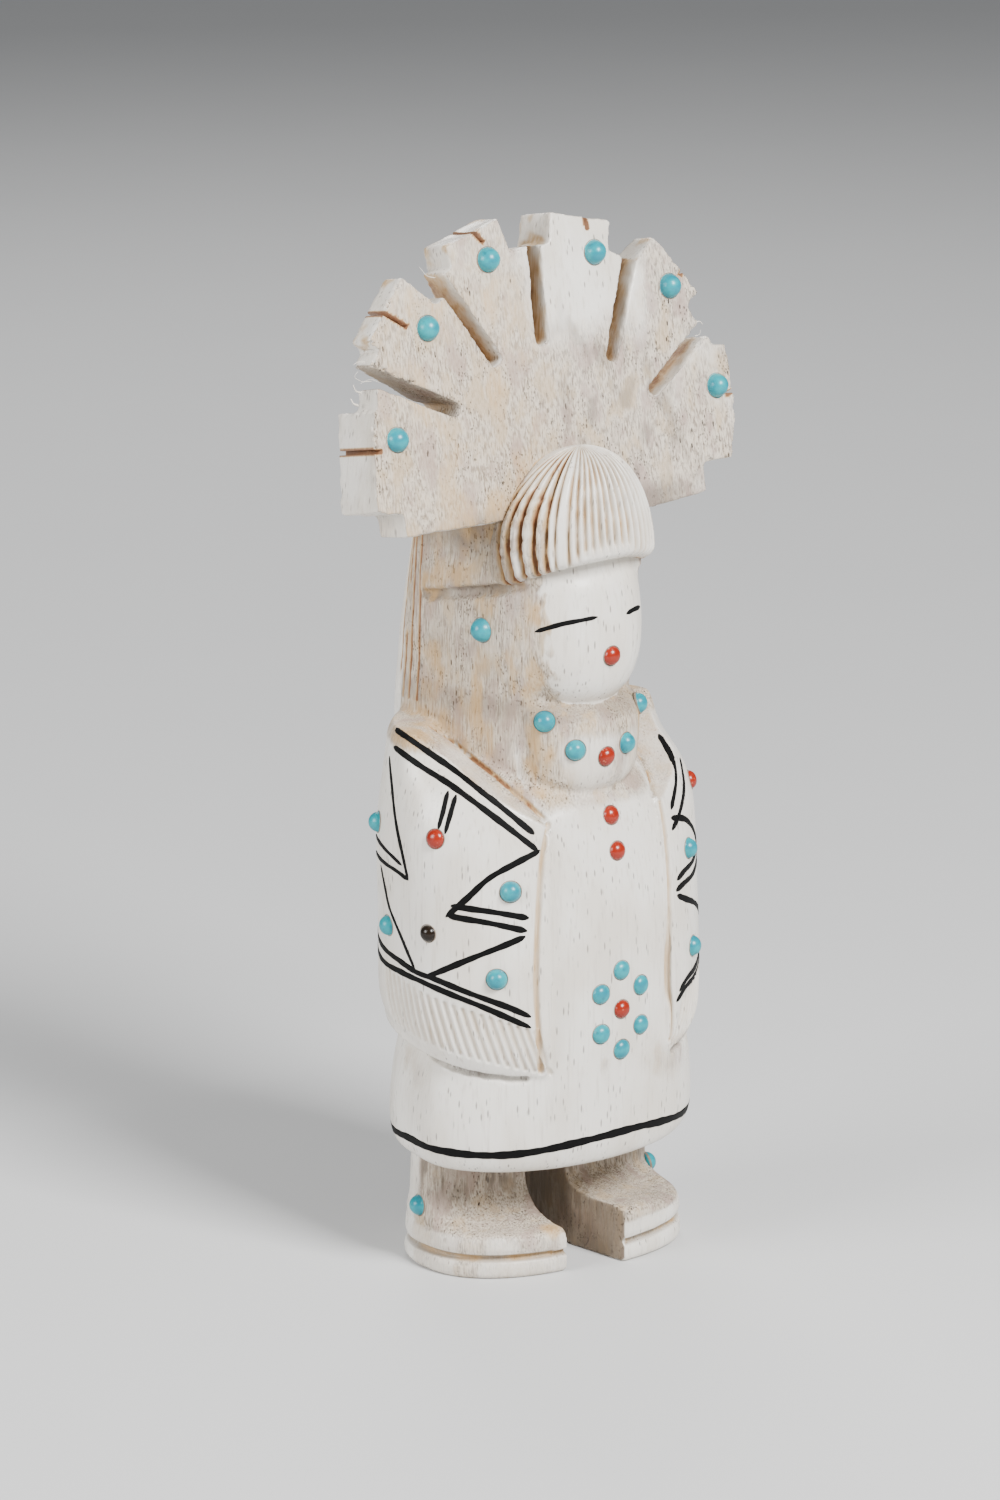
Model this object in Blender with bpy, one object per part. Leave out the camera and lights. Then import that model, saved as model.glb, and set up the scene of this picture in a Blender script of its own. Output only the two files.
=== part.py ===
"""An upright figure carved from one piece of antler: fan headdress, shawl, dress and set stones.

Blender 4.5, metres, +Z up. The figure faces -Y and stands with its soles on Z = 0.
Left (-X) and right (+X) are as seen from its front.
"""

import math

import bmesh
import bpy
from mathutils import Matrix, Vector
from mathutils.bvhtree import BVHTree

MM = 0.001

# Fan headdress. Its flat front leans back. Places on it are across (x) and up from its centre.
FAN_CENTRE_HEIGHT = 94.5 * MM
FAN_FRONT_Y = -5.5 * MM
FAN_LEAN = math.radians(11.3)
FAN_THICKNESS = 7.2 * MM
FAN_PALM_RADIUS = 26.4 * MM
FAN_RIM_THICKNESS = 4.4 * MM
FAN_BACK_RADIUS = 19.5 * MM
FAN_SEGMENTS = 60
# The forms stand this far ahead of the front before it is sawn flat.
FAN_SAW_SPARE = 1.0 * MM
FEATHER_SAW_SPARE = 1.6 * MM
FAN_BOTTOM = -4.3 * MM
FEATHER_ROOT = 12.0 * MM
# Each feather's end: across, up, turn from upright in degrees, half width, notch depth, thickness.
FEATHERS = (
    (-27.0, 4.7, -83.5, 5.8, 1.0, 7.0),
    (-22.9, 21.6, -50.0, 4.4, 3.5, 3.6),
    (-9.6, 28.8, -17.0, 4.2, 1.8, 4.6),
    (6.2, 28.9, 12.5, 4.4, 1.6, 5.8),
    (19.5, 21.8, 52.0, 4.6, 1.2, 3.8),
    (24.5, 5.4, 98.0, 6.4, 1.2, 6.0),
)
FEATHER_ROOT_STEP = 0.1 * MM
# Each sawn slot: across and up at its inner end, turn in degrees, width at the rim.
SLOTS = (
    (-14.5, 8.9, -59.0, 3.6),
    (-8.0, 13.6, -33.0, 1.6),
    (-1.3, 15.0, 1.5, 1.8),
    (8.3, 11.9, 20.7, 1.9),
    (13.6, 7.5, 53.6, 1.8),
)
SLOT_INNER_WIDTH = 1.6 * MM
SLOT_REACH = 22.0 * MM
NOTCH_WIDTH = 0.5 * MM
LEFT_FOOT_OF_FAN = -23.8 * MM
RIGHT_FOOT_OF_FAN = 19.3 * MM
FAN_FOOT_STEP = -1.5 * MM

# Body sections: height, half width, depth to the front, depth to the back.
DRESS = (
    (13.4, 16.8, 12.2, 12.2),
    (13.9, 18.2, 13.6, 13.6),
    (14.9, 19.0, 14.3, 14.3),
    (16.8, 19.4, 14.8, 14.7),
    (19.5, 19.4, 14.9, 14.7),
    (23.0, 18.8, 15.0, 14.4),
    (26.0, 17.6, 15.1, 14.0),
    (29.5, 17.8, 15.2, 14.0),
    (36.5, 18.4, 15.1, 14.2),
    (44.5, 18.6, 14.7, 14.3),
    (50.5, 18.4, 13.9, 14.2),
    (54.0, 17.4, 13.2, 14.0),
    (57.0, 14.8, 12.2, 13.6),
    (59.5, 12.4, 10.0, 13.2),
    (61.5, 11.0, 6.0, 12.8),
)
SHAWL = (
    (26.7, 17.9, 14.4, 14.0),
    (27.3, 19.2, 15.0, 15.0),
    (29.0, 20.1, 15.6, 15.6),
    (33.0, 20.4, 15.8, 15.8),
    (39.5, 20.5, 15.6, 15.8),
    (46.5, 20.4, 15.0, 15.6),
    (52.0, 20.0, 14.2, 15.4),
    (56.0, 19.4, 13.2, 15.3),
    (59.5, 18.4, 12.2, 15.2),
    (61.8, 17.2, 11.2, 15.1),
    (63.5, 15.4, 10.2, 15.0),
    (64.4, 13.0, 9.0, 14.4),
)
BODY_POWER = 2.15
SHAWL_FRONT_DROP = 1.3 * MM
# The shawl's opening, seen from the front: across and up.
OPENING_LOW = (-10.6 * MM, 8.7 * MM)
OPENING_CORNER = (-8.0 * MM, 8.4 * MM)
OPENING_CORNER_HEIGHT = 55.8 * MM
OPENING_RISE = 0.84

# Head and long hair: height, half width, depth to the front, depth to the back.
HEAD = (
    (45.0, 10.2, 9.0, 15.9),
    (46.0, 10.5, 9.4, 16.5),
    (58.5, 10.4, 10.6, 16.5),
    (64.5, 10.4, 11.0, 16.4),
    (69.5, 10.3, 11.0, 16.0),
    (74.5, 10.2, 11.0, 15.3),
    (79.5, 10.1, 11.0, 14.3),
    (85.5, 10.0, 10.6, 12.8),
    (90.5, 9.9, 7.4, 11.4),
    (96.5, 9.4, 5.2, 9.8),
    (102.5, 8.0, 2.4, 8.2),
    (107.5, 6.0, 0.5, 6.8),
    (110.5, 3.4, -1.5, 5.6),
)
HEAD_POWER = 4.5
HEAD_FRONT_TAPER = 0.2
FACE_Y = -6.6 * MM
# Face sections: height, half width, depth.
FACE = (
    (67.7, 3.0, 2.2),
    (68.2, 4.8, 3.7),
    (69.3, 6.6, 5.1),
    (71.1, 7.9, 6.1),
    (74.0, 8.5, 6.6),
    (78.0, 8.5, 6.6),
    (82.0, 8.2, 6.4),
    (86.5, 7.8, 6.0),
)
COLLAR_Y = -7.8 * MM
# Collar sections: height, half width, depth.
COLLAR = (
    (57.6, 3.6, 2.4),
    (58.2, 5.6, 3.8),
    (59.4, 6.9, 4.7),
    (61.2, 7.5, 5.1),
    (64.4, 7.5, 5.1),
    (67.0, 7.1, 4.7),
    (69.5, 6.4, 4.0),
)

# Fringe of hair over the brow: a fluted dome, its crown ahead of its middle, longer at the sides.
CAP_PLACE = (0.0, -5.6 * MM, 86.6 * MM)
CAP_SIZE = (9.6 * MM, 9.6 * MM, 12.2 * MM)
CAP_TIP = math.radians(6.0)
CAP_ROLL = 2.2 * MM
CAP_CROWN_AHEAD = 3.0 * MM
CAP_SIDE_DROP = 3.3 * MM
CAP_FLUTES = 48
CAP_FLUTE_DEPTH = 0.4 * MM
CAP_ROWS = 5

# Legs and feet keep the antler's oval outside. Their inner walls face each other across a gap.
LEG_INNER = (-3.5 * MM, 4.5 * MM)
FOOT_HALF_WIDTH = 16.9 * MM
LEG_HALF_WIDTH = 16.0 * MM
HEEL_Y = 12.0 * MM
TOE_Y = (-11.2 * MM, -12.9 * MM)
ANKLE_Y = -2.2 * MM
LEG_TOP = 16.0 * MM
SOLE_HEIGHT = 2.4 * MM
SOLE_GROOVE = 0.45 * MM
TOE_HEIGHTS = (4.7 * MM, 5.8 * MM)

LEG_POINTS = 40
LEG_POWER = 2.3
SOLE_ROUND = 0.5 * MM
INSTEP_RISE = 6.0 * MM

BODY_POINTS = 44
HEAD_POINTS = 36
SMOOTH_BELOW = math.radians(24.0)

# Set stones: a round peg under a dome, in a drilled seat. Each kind: radius, dome height.
STONES = {
    "turquoise": (1.3 * MM, 1.0 * MM),
    "petal": (1.15 * MM, 0.85 * MM),
    "coral": (1.1 * MM, 0.85 * MM),
    "jet": (1.0 * MM, 0.75 * MM),
}
STONE_PEG = 1.0 * MM
STONE_LIP = 0.1 * MM
SEAT_CLEARANCE = 0.12 * MM
STONE_POINTS = 10
# The dome's rings: share of the radius, share of the dome's height.
DOME = ((0.82, 0.58), (0.42, 0.94))
# On each feather: inset from its end, and aside from its middle.
FAN_STONES = ((3.2, 2.6), (6.0, 1.4), (3.7, 0.8), (3.9, 2.3), (2.6, 0.9), (1.5, -1.6))
# On the front: name, kind, across, height.
FRONT_STONES = (
    ("coral_mouth", "coral", 0.2, 74.4),
    ("coral_collar", "coral", -0.2, 62.4),
    ("coral_chest_1", "coral", 0.6, 55.3),
    ("coral_chest_2", "coral", 0.8, 51.2),
    ("coral_flower", "coral", 0.5, 32.4),
)
FLOWER_PETALS = 6
FLOWER_CENTRE = (0.5, 32.3)
FLOWER_SIZE = (3.5, 4.8)
# Round the sides: name, kind, degrees from the front towards the right, height.
SIDE_STONES = (
    ("turquoise_collar_1", "turquoise", -34.7, 66.9),
    ("turquoise_collar_2", "turquoise", -19.1, 63.6),
    ("turquoise_collar_3", "turquoise", 14.1, 63.4),
    ("turquoise_collar_4", "turquoise", 34.7, 66.9),
    ("turquoise_head_left", "turquoise", -78.3, 76.7),
    ("turquoise_head_right", "turquoise", 78.3, 76.7),
    ("coral_shawl_left", "coral", -75.3, 54.0),
    ("jet_shawl_left", "jet", -77.2, 42.7),
    ("turquoise_shawl_left_1", "turquoise", -48.8, 48.2),
    ("turquoise_shawl_left_2", "turquoise", -53.0, 37.9),
    ("turquoise_shawl_left_3", "turquoise", -109.3, 53.5),
    ("turquoise_shawl_left_4", "turquoise", -100.4, 41.8),
    ("coral_shawl_right", "coral", 69.0, 55.3),
    ("jet_shawl_right", "jet", 77.2, 42.7),
    ("turquoise_shawl_right_1", "turquoise", 50.4, 48.7),
    ("turquoise_shawl_right_2", "turquoise", 48.7, 36.9),
    ("turquoise_shawl_right_3", "turquoise", 109.3, 53.5),
    ("turquoise_shawl_right_4", "turquoise", 100.4, 41.8),
    ("turquoise_leg_left", "turquoise", -96.2, 7.4),
    ("turquoise_leg_right", "turquoise", 88.0, 6.6),
)

PARTS = bpy.data.collections.new("antler_fan_maiden")
HELPERS = bpy.data.collections.new("forms_and_cutters")


def clear_scene():
    for thing in list(bpy.data.objects):
        bpy.data.objects.remove(thing, do_unlink=True)
    for group in (PARTS, HELPERS):
        bpy.context.scene.collection.children.link(group)


def helper_group(name):
    group = bpy.data.collections.new(name)
    HELPERS.children.link(group)
    return group


def material(name, colour, roughness, metallic=0.0):
    made = bpy.data.materials.new(name)
    made.use_nodes = True
    shader = made.node_tree.nodes["Principled BSDF"]
    shader.inputs["Base Color"].default_value = (*colour, 1.0)
    shader.inputs["Roughness"].default_value = roughness
    shader.inputs["Metallic"].default_value = metallic
    return made


def add_object(name, shape, group, matrix=None):
    """A mesh object of this shape, which is freed. Anything outside PARTS is a helper."""
    if matrix is not None:
        bmesh.ops.transform(shape, matrix=matrix, verts=shape.verts)
    bmesh.ops.recalc_face_normals(shape, faces=shape.faces)
    mesh = bpy.data.meshes.new(name)
    shape.to_mesh(mesh)
    shape.free()
    made = bpy.data.objects.new(name, mesh)
    group.objects.link(made)
    if group is not PARTS:
        made.hide_render = True
        made.display_type = "WIRE"
    return made


def combine(target, operation, group):
    boolean = target.modifiers.new(operation.lower(), "BOOLEAN")
    boolean.operation = operation
    boolean.operand_type = "COLLECTION"
    boolean.collection = group
    boolean.solver = "EXACT"


def oval(height, half_width, front, back, power, points, taper=0.0):
    """One level section: a rounded oval, narrowed towards the front by the taper."""
    ring = []
    for step in range(points):
        angle = 2 * math.pi * step / points
        across = math.copysign(abs(math.cos(angle)) ** (2 / power), math.cos(angle))
        along = math.copysign(abs(math.sin(angle)) ** (2 / power), math.sin(angle))
        depth = back if along > 0 else front
        width = half_width * (1 + taper * along)
        ring.append(Vector((across * width, along * depth, height)))
    return ring


def loft(rings):
    """A closed body through rings of equal length, with flat ends."""
    shape = bmesh.new()
    rows = [[shape.verts.new(point) for point in ring] for ring in rings]
    count = len(rows[0])
    for lower, upper in zip(rows, rows[1:]):
        for step in range(count):
            after = (step + 1) % count
            shape.faces.new((lower[step], lower[after], upper[after], upper[step]))
    shape.faces.new(list(reversed(rows[0])))
    shape.faces.new(rows[-1])
    return shape


def prism(outline, low, high):
    """An outline across (x) and up (z), run along Y from low to high."""
    return loft([[Vector((x, y, z)) for x, z in outline] for y in (low, high)])


def box(size):
    shape = bmesh.new()
    bmesh.ops.create_cube(shape, size=1.0)
    bmesh.ops.transform(shape, matrix=Matrix.Diagonal((*size, 1.0)), verts=shape.verts)
    return shape


def body_rings(sections, drop=0.0):
    """Rings of a body from its sections in millimetres. The drop lowers its front edge."""
    rings = []
    top = sections[-1][0]
    bottom = sections[0][0]
    for height, half_width, front, back in sections:
        ring = oval(height * MM, half_width * MM, front * MM, back * MM, BODY_POWER, BODY_POINTS)
        share = (top - height) / (top - bottom)
        for point in ring:
            point.z += drop * share * point.y / (back * MM)
        rings.append(ring)
    return rings


def fan_matrix():
    """From the fan's own places (across, away from the front, up) to the figure."""
    lean = Matrix.Rotation(-FAN_LEAN, 4, "X")
    return Matrix.Translation((0.0, FAN_FRONT_Y, FAN_CENTRE_HEIGHT)) @ lean


def in_fan(across, up, turn):
    """A place in the fan's front plane, turned clockwise from upright as seen from the front."""
    spot = Matrix.Translation((across * MM, 0.0, up * MM))
    return fan_matrix() @ spot @ Matrix.Rotation(math.radians(turn), 4, "Y")


def feather_rings(side, thickness):
    """A feather's root, as thick as the fan, and its thinner end, which lies at height 0."""
    rings = []
    root = FAN_THICKNESS - FEATHER_ROOT_STEP
    for height, back in ((-FEATHER_ROOT, root), (0.0, thickness)):
        corners = ((-1, -FEATHER_SAW_SPARE), (1, -FEATHER_SAW_SPARE), (1, back), (-1, back))
        rings.append([Vector((side * x, y, height)) for x, y in corners])
    return rings


def build_fan(group):
    feathers = helper_group("feathers")
    cuts = helper_group("fan_cuts")
    palm = (
        (-FAN_SAW_SPARE, FAN_PALM_RADIUS),
        (FAN_RIM_THICKNESS, FAN_PALM_RADIUS),
        (FAN_THICKNESS, FAN_BACK_RADIUS),
    )
    rings = [oval(depth, radius, radius, radius, 2.0, FAN_SEGMENTS) for depth, radius in palm]
    upright = Matrix.Rotation(-math.pi / 2, 4, "X")
    fan = add_object("fan", loft(rings), group, fan_matrix() @ upright)
    through = 3 * FAN_THICKNESS
    for number, (across, up, turn, half_width, notch_depth, thickness) in enumerate(FEATHERS, 1):
        end = in_fan(across, up, turn)
        feather = loft(feather_rings(half_width * MM, thickness * MM))
        add_object(f"feather_{number}", feather, feathers, end)
        saw = NOTCH_WIDTH / 2
        depth = notch_depth * MM
        outline = ((-saw, -depth), (saw, -depth), (saw, FEATHER_ROOT), (-saw, FEATHER_ROOT))
        add_object(f"notch_{number}", prism(outline, -through, through), cuts, end)
    for number, (across, up, turn, rim_width) in enumerate(SLOTS, 1):
        inner = SLOT_INNER_WIDTH / 2
        rim = rim_width * MM / 2
        outline = ((-inner, 0.0), (inner, 0.0), (rim, SLOT_REACH), (-rim, SLOT_REACH))
        add_object(f"slot_{number}", prism(outline, -through, through), cuts, in_fan(across, up, turn))
    span = 4 * FAN_PALM_RADIUS
    ahead = Matrix.Translation((0.0, -through, 0.0))
    add_object("ahead_of_fan", box((span, 2 * through, span)), cuts, fan_matrix() @ ahead)
    below = Matrix.Translation((0.0, 0.0, FAN_BOTTOM - span / 2))
    add_object("below_fan", box((span, 2 * through, span)), cuts, fan_matrix() @ below)
    for name, edge, side in (("left", LEFT_FOOT_OF_FAN, -1), ("right", RIGHT_FOOT_OF_FAN, 1)):
        corner = Matrix.Translation((edge + side * span / 2, 0.0, FAN_FOOT_STEP - span / 2))
        add_object(f"fan_step_{name}", box((span, 2 * through, span)), cuts, fan_matrix() @ corner)
    combine(fan, "UNION", feathers)
    combine(fan, "DIFFERENCE", cuts)


def build_shawl(group):
    """The shawl's outer form, open at the front over the dress and the chest."""
    opening = helper_group("shawl_opening")
    shawl = add_object("shawl", loft(body_rings(SHAWL, SHAWL_FRONT_DROP)), group)
    far = 2 * SHAWL[0][1] * MM
    left = OPENING_CORNER[0] - far
    right = OPENING_CORNER[1] + far
    shoulder = OPENING_CORNER_HEIGHT + far * OPENING_RISE
    low_left, low_right = OPENING_LOW
    corner_left, corner_right = OPENING_CORNER
    neckline = (
        (corner_left, OPENING_CORNER_HEIGHT),
        (corner_right, OPENING_CORNER_HEIGHT),
        (right, shoulder),
        (left, shoulder),
    )
    add_object("neckline", prism(neckline, -far, far), opening)
    spare = OPENING_CORNER_HEIGHT + MM
    front = ((low_left, 0.0), (low_right, 0.0), (corner_right, spare), (corner_left, spare))
    add_object("front_opening", prism(front, -far, 0.0), opening)
    combine(shawl, "DIFFERENCE", opening)


def build_head(group):
    rings = []
    for height, half_width, front, back in HEAD:
        sizes = (height * MM, half_width * MM, front * MM, back * MM)
        rings.append(oval(*sizes, HEAD_POWER, HEAD_POINTS, HEAD_FRONT_TAPER))
    add_object("head_and_hair", loft(rings), group)
    for name, sections, y in (("face", FACE, FACE_Y), ("collar", COLLAR, COLLAR_Y)):
        rings = []
        for height, half_width, depth in sections:
            sizes = (height * MM, half_width * MM, depth * MM, depth * MM)
            rings.append(oval(*sizes, 2.0, HEAD_POINTS))
        add_object(name, loft(rings), group, Matrix.Translation((0.0, y, 0.0)))
    tipped = Matrix.Translation(CAP_PLACE) @ Matrix.Rotation(-CAP_TIP, 4, "X")
    add_object("brow_fringe", loft(cap_rings()), group, tipped)


def cap_rings():
    """The half dome of hair over the brow, with flutes that run down from its crown."""
    half_width, depth, height = CAP_SIZE
    levels = [(-CAP_ROLL, 0.86, 0.0), (-0.6 * CAP_ROLL, 0.96, 0.0), (0.0, 1.0, 0.0)]
    for step in range(CAP_ROWS):
        rise = math.radians(8 + 74 * step / (CAP_ROWS - 1))
        levels.append((height * math.sin(rise), math.cos(rise), CAP_FLUTE_DEPTH))
    rings = []
    for level, share, flute in levels:
        ring = oval(level, half_width * share, depth * share, depth * share, 2.0, 2 * CAP_FLUTES)
        for point in ring[::2]:
            sunk = 1 - flute * share / max(half_width * share, depth * share, MM)
            point.x *= sunk
            point.y *= sunk
        rise = max(level, 0.0) / height
        for point in ring:
            behind_brow = min(1.0, 1.0 + point.y / (depth * share))
            point.z -= CAP_SIDE_DROP * behind_brow * (1 - rise)
            point.y -= CAP_CROWN_AHEAD * rise ** 2
        rings.append(ring)
    return rings


def leg_rings(toe_y):
    """A leg across the whole oval of the antler, from the sole up, with the sole's groove."""
    groove_low = SOLE_HEIGHT - SOLE_GROOVE / 2
    groove_high = SOLE_HEIGHT + SOLE_GROOVE / 2
    levels = (
        (0.0, SOLE_ROUND),
        (SOLE_ROUND, 0.0),
        (groove_low, 0.0),
        (SOLE_HEIGHT, SOLE_GROOVE),
        (groove_high, 0.0),
        (LEG_TOP, 0.0),
    )
    rings = []
    for height, inset in levels:
        half_width = FOOT_HALF_WIDTH + height / LEG_TOP * (LEG_HALF_WIDTH - FOOT_HALF_WIDTH) - inset
        ring = oval(height, half_width, -toe_y - inset, HEEL_Y - inset, LEG_POWER, LEG_POINTS)
        rings.append(ring)
    return rings


def instep(toe_y, toe_height, reach):
    """What is carved away over the toes, seen from the side, swept up to the ankle."""
    sweep = toe_y - ANKLE_Y
    outline = (
        (-reach, toe_height),
        (ANKLE_Y + sweep * 0.6, toe_height),
        (ANKLE_Y + sweep * 0.45, toe_height + INSTEP_RISE * 0.06),
        (ANKLE_Y + sweep * 0.25, toe_height + INSTEP_RISE * 0.35),
        (ANKLE_Y + sweep * 0.06, toe_height + INSTEP_RISE),
        (ANKLE_Y, reach),
        (-reach, reach),
    )
    return prism(outline, -reach, reach)


def build_legs(group):
    """Each leg is the oval cut back to its inner wall, and over its toes."""
    far = 4 * FOOT_HALF_WIDTH
    reach = 2 * FOOT_HALF_WIDTH
    across = Matrix.Rotation(math.pi / 2, 4, "Z")
    sides = zip(("left_leg", "right_leg"), LEG_INNER, TOE_Y, TOE_HEIGHTS, (1, -1))
    for name, inner, toe_y, toe_height, beyond in sides:
        leg = add_object(name, loft(leg_rings(toe_y)), group)
        cut = helper_group(f"{name}_cut")
        middle = Matrix.Translation((inner + beyond * far / 2, 0.0, 0.0))
        add_object(f"{name}_inner_wall", box((far, far, far)), cut, middle)
        add_object(f"{name}_instep", instep(toe_y, toe_height, reach), cut, across)
        combine(leg, "DIFFERENCE", cut)


def build_figure():
    forms = helper_group("carved_forms")
    build_shawl(forms)
    build_head(forms)
    build_fan(forms)
    build_legs(forms)
    figure = add_object("antler_figure", loft(body_rings(DRESS)), PARTS)
    combine(figure, "UNION", forms)
    figure.data.materials.append(material("antler", (0.80, 0.77, 0.70), 0.45))
    return figure


def dome_rings(radius, dome):
    """A stone standing on its seat's edge: its peg lies below height 0."""
    levels = [(1.0, -STONE_PEG), (1.0, STONE_LIP)]
    for share, rise in DOME:
        levels.append((share, STONE_LIP + rise * (dome - STONE_LIP)))
    rings = []
    for share, height in levels:
        ring_radius = radius * share
        rings.append(oval(height, ring_radius, ring_radius, ring_radius, 2.0, STONE_POINTS))
    return rings


def seat_rings(radius):
    """The drill for a stone's seat, from its floor to well above the surface."""
    drill = radius + SEAT_CLEARANCE
    floor = -STONE_PEG - SEAT_CLEARANCE
    return [oval(height, drill, drill, drill, 2.0, STONE_POINTS) for height in (floor, STONE_PEG)]


def stone_places(surface):
    """Each stone's name, kind, and place on the carving with +Z along the outward normal."""
    far = 4 * FAN_PALM_RADIUS
    places = []
    out_of_front = Matrix.Rotation(math.pi / 2, 4, "X")
    for number, (feather, (inset, aside)) in enumerate(zip(FEATHERS, FAN_STONES), 1):
        spot = Matrix.Translation((aside * MM, 0.0, -inset * MM))
        place = in_fan(*feather[:3]) @ spot @ out_of_front
        places.append((f"turquoise_fan_{number}", "turquoise", place))
    rays = []
    for name, kind, across, height in FRONT_STONES:
        start = Vector((across * MM, -far, height * MM))
        rays.append((name, kind, start, Vector((0.0, 1.0, 0.0))))
    for number in range(FLOWER_PETALS):
        angle = 2 * math.pi * number / FLOWER_PETALS
        across = FLOWER_CENTRE[0] + FLOWER_SIZE[0] * math.sin(angle)
        height = FLOWER_CENTRE[1] + FLOWER_SIZE[1] * math.cos(angle)
        start = Vector((across * MM, -far, height * MM))
        rays.append((f"turquoise_petal_{number + 1}", "petal", start, Vector((0.0, 1.0, 0.0))))
    for name, kind, degrees, height in SIDE_STONES:
        turn = math.radians(degrees)
        inward = Vector((-math.sin(turn), math.cos(turn), 0.0))
        start = Vector((0.0, 0.0, height * MM)) - far * inward
        rays.append((name, kind, start, inward))
    for name, kind, start, inward in rays:
        spot, normal, _, _ = surface.ray_cast(start, inward)
        upright = normal.to_track_quat("Z", "Y").to_matrix().to_4x4()
        places.append((name, kind, Matrix.Translation(spot) @ upright))
    return places


def set_stones(figure):
    seats = helper_group("stone_seats")
    turquoise = material("turquoise", (0.09, 0.52, 0.58), 0.25)
    looks = {
        "turquoise": turquoise,
        "petal": turquoise,
        "coral": material("coral", (0.62, 0.10, 0.05), 0.25),
        "jet": material("jet", (0.05, 0.04, 0.03), 0.15),
    }
    graph = bpy.context.evaluated_depsgraph_get()
    surface = BVHTree.FromObject(figure, graph)
    for name, kind, place in stone_places(surface):
        radius, dome = STONES[kind]
        stone = add_object(name, loft(dome_rings(radius, dome)), PARTS, place)
        stone.data.materials.append(looks[kind])
        add_object(f"seat_{name}", loft(seat_rings(radius)), seats, place)
    combine(figure, "DIFFERENCE", seats)


def keep_result(figure):
    """The carved result in place of the modifiers, so that its real edges can be told from its facets."""
    graph = bpy.context.evaluated_depsgraph_get()
    figure.data = bpy.data.meshes.new_from_object(figure.evaluated_get(graph))
    figure.modifiers.clear()


def shade_round(shape):
    shape.data.shade_smooth()
    shape.data.set_sharp_from_angle(angle=SMOOTH_BELOW)


clear_scene()
carving = build_figure()
set_stones(carving)
keep_result(carving)
for solid in PARTS.objects:
    shade_round(solid)
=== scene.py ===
"""The looks of an antler carving of a maiden with a feather fan, set with stones."""

import math
import random

import bpy
import numpy as np
from mathutils import Matrix, Vector, noise
from mathutils.bvhtree import BVHTree


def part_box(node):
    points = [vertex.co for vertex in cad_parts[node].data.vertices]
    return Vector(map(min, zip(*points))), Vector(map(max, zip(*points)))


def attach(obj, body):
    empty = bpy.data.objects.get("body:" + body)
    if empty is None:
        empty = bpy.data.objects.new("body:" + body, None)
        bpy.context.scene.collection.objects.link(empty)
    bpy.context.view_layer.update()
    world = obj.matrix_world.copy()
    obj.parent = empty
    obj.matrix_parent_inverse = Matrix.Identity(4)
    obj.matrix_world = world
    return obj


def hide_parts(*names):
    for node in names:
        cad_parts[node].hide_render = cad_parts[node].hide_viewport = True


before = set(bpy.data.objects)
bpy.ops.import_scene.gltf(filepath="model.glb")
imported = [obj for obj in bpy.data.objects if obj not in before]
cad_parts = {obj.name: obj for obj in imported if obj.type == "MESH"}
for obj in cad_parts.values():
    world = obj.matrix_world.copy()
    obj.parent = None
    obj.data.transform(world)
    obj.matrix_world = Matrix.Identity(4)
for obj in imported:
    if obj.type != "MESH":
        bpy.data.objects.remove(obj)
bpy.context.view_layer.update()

MM = 0.001

# All sizes are in millimetres. The figure looks towards -Y and stands on its soles at height 0.
# Sections of a body: height, half width, depth to the front, depth to the back.
DRESS = (
    (13.4, 16.8, 12.2, 12.2),
    (13.9, 18.2, 13.6, 13.6),
    (14.9, 19.0, 14.3, 14.3),
    (16.8, 19.4, 14.8, 14.7),
    (19.5, 19.4, 14.9, 14.7),
    (23.0, 19.0, 15.0, 14.5),
    (26.0, 18.3, 15.1, 14.2),
    (28.0, 17.6, 15.2, 14.0),
    (30.5, 17.4, 15.2, 14.0),
    (36.5, 18.4, 15.1, 14.2),
    (44.5, 18.6, 14.7, 14.3),
    (50.5, 18.4, 13.9, 14.2),
    (54.0, 17.4, 13.2, 14.0),
    (57.0, 14.8, 12.2, 13.6),
    (59.5, 12.4, 10.0, 13.2),
    (61.5, 11.0, 6.0, 12.8),
)
# The shawl's sections end with its half width over the back.
SHAWL = (
    (27.9, 17.3, 14.2, 13.8, 17.3),
    (28.1, 18.9, 15.0, 15.0, 18.9),
    (28.9, 19.5, 15.4, 15.4, 18.9),
    (30.4, 20.1, 15.7, 15.7, 19.4),
    (33.0, 20.3, 15.8, 15.8, 19.7),
    (39.5, 20.3, 15.6, 15.8, 19.7),
    (46.5, 20.2, 15.0, 15.6, 20.0),
    (52.0, 20.2, 14.2, 15.4, 20.1),
    (56.0, 19.7, 13.2, 15.3, 19.6),
    (59.5, 17.9, 12.2, 15.2, 19.0),
    (61.8, 15.2, 11.2, 15.1, 18.6),
    (63.5, 13.0, 10.2, 15.0, 18.3),
    (64.8, 11.4, 9.0, 14.5, 17.7),
)
BODY_POWER = 2.15
DRESS_BACK_SHARE = 0.945
SHAWL_FRONT_DROP = 3.0
OPENING_LOW = (-10.6, 8.7)
OPENING_CORNER = (-8.0, 8.4)
OPENING_CORNER_HEIGHT = 55.8
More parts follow.
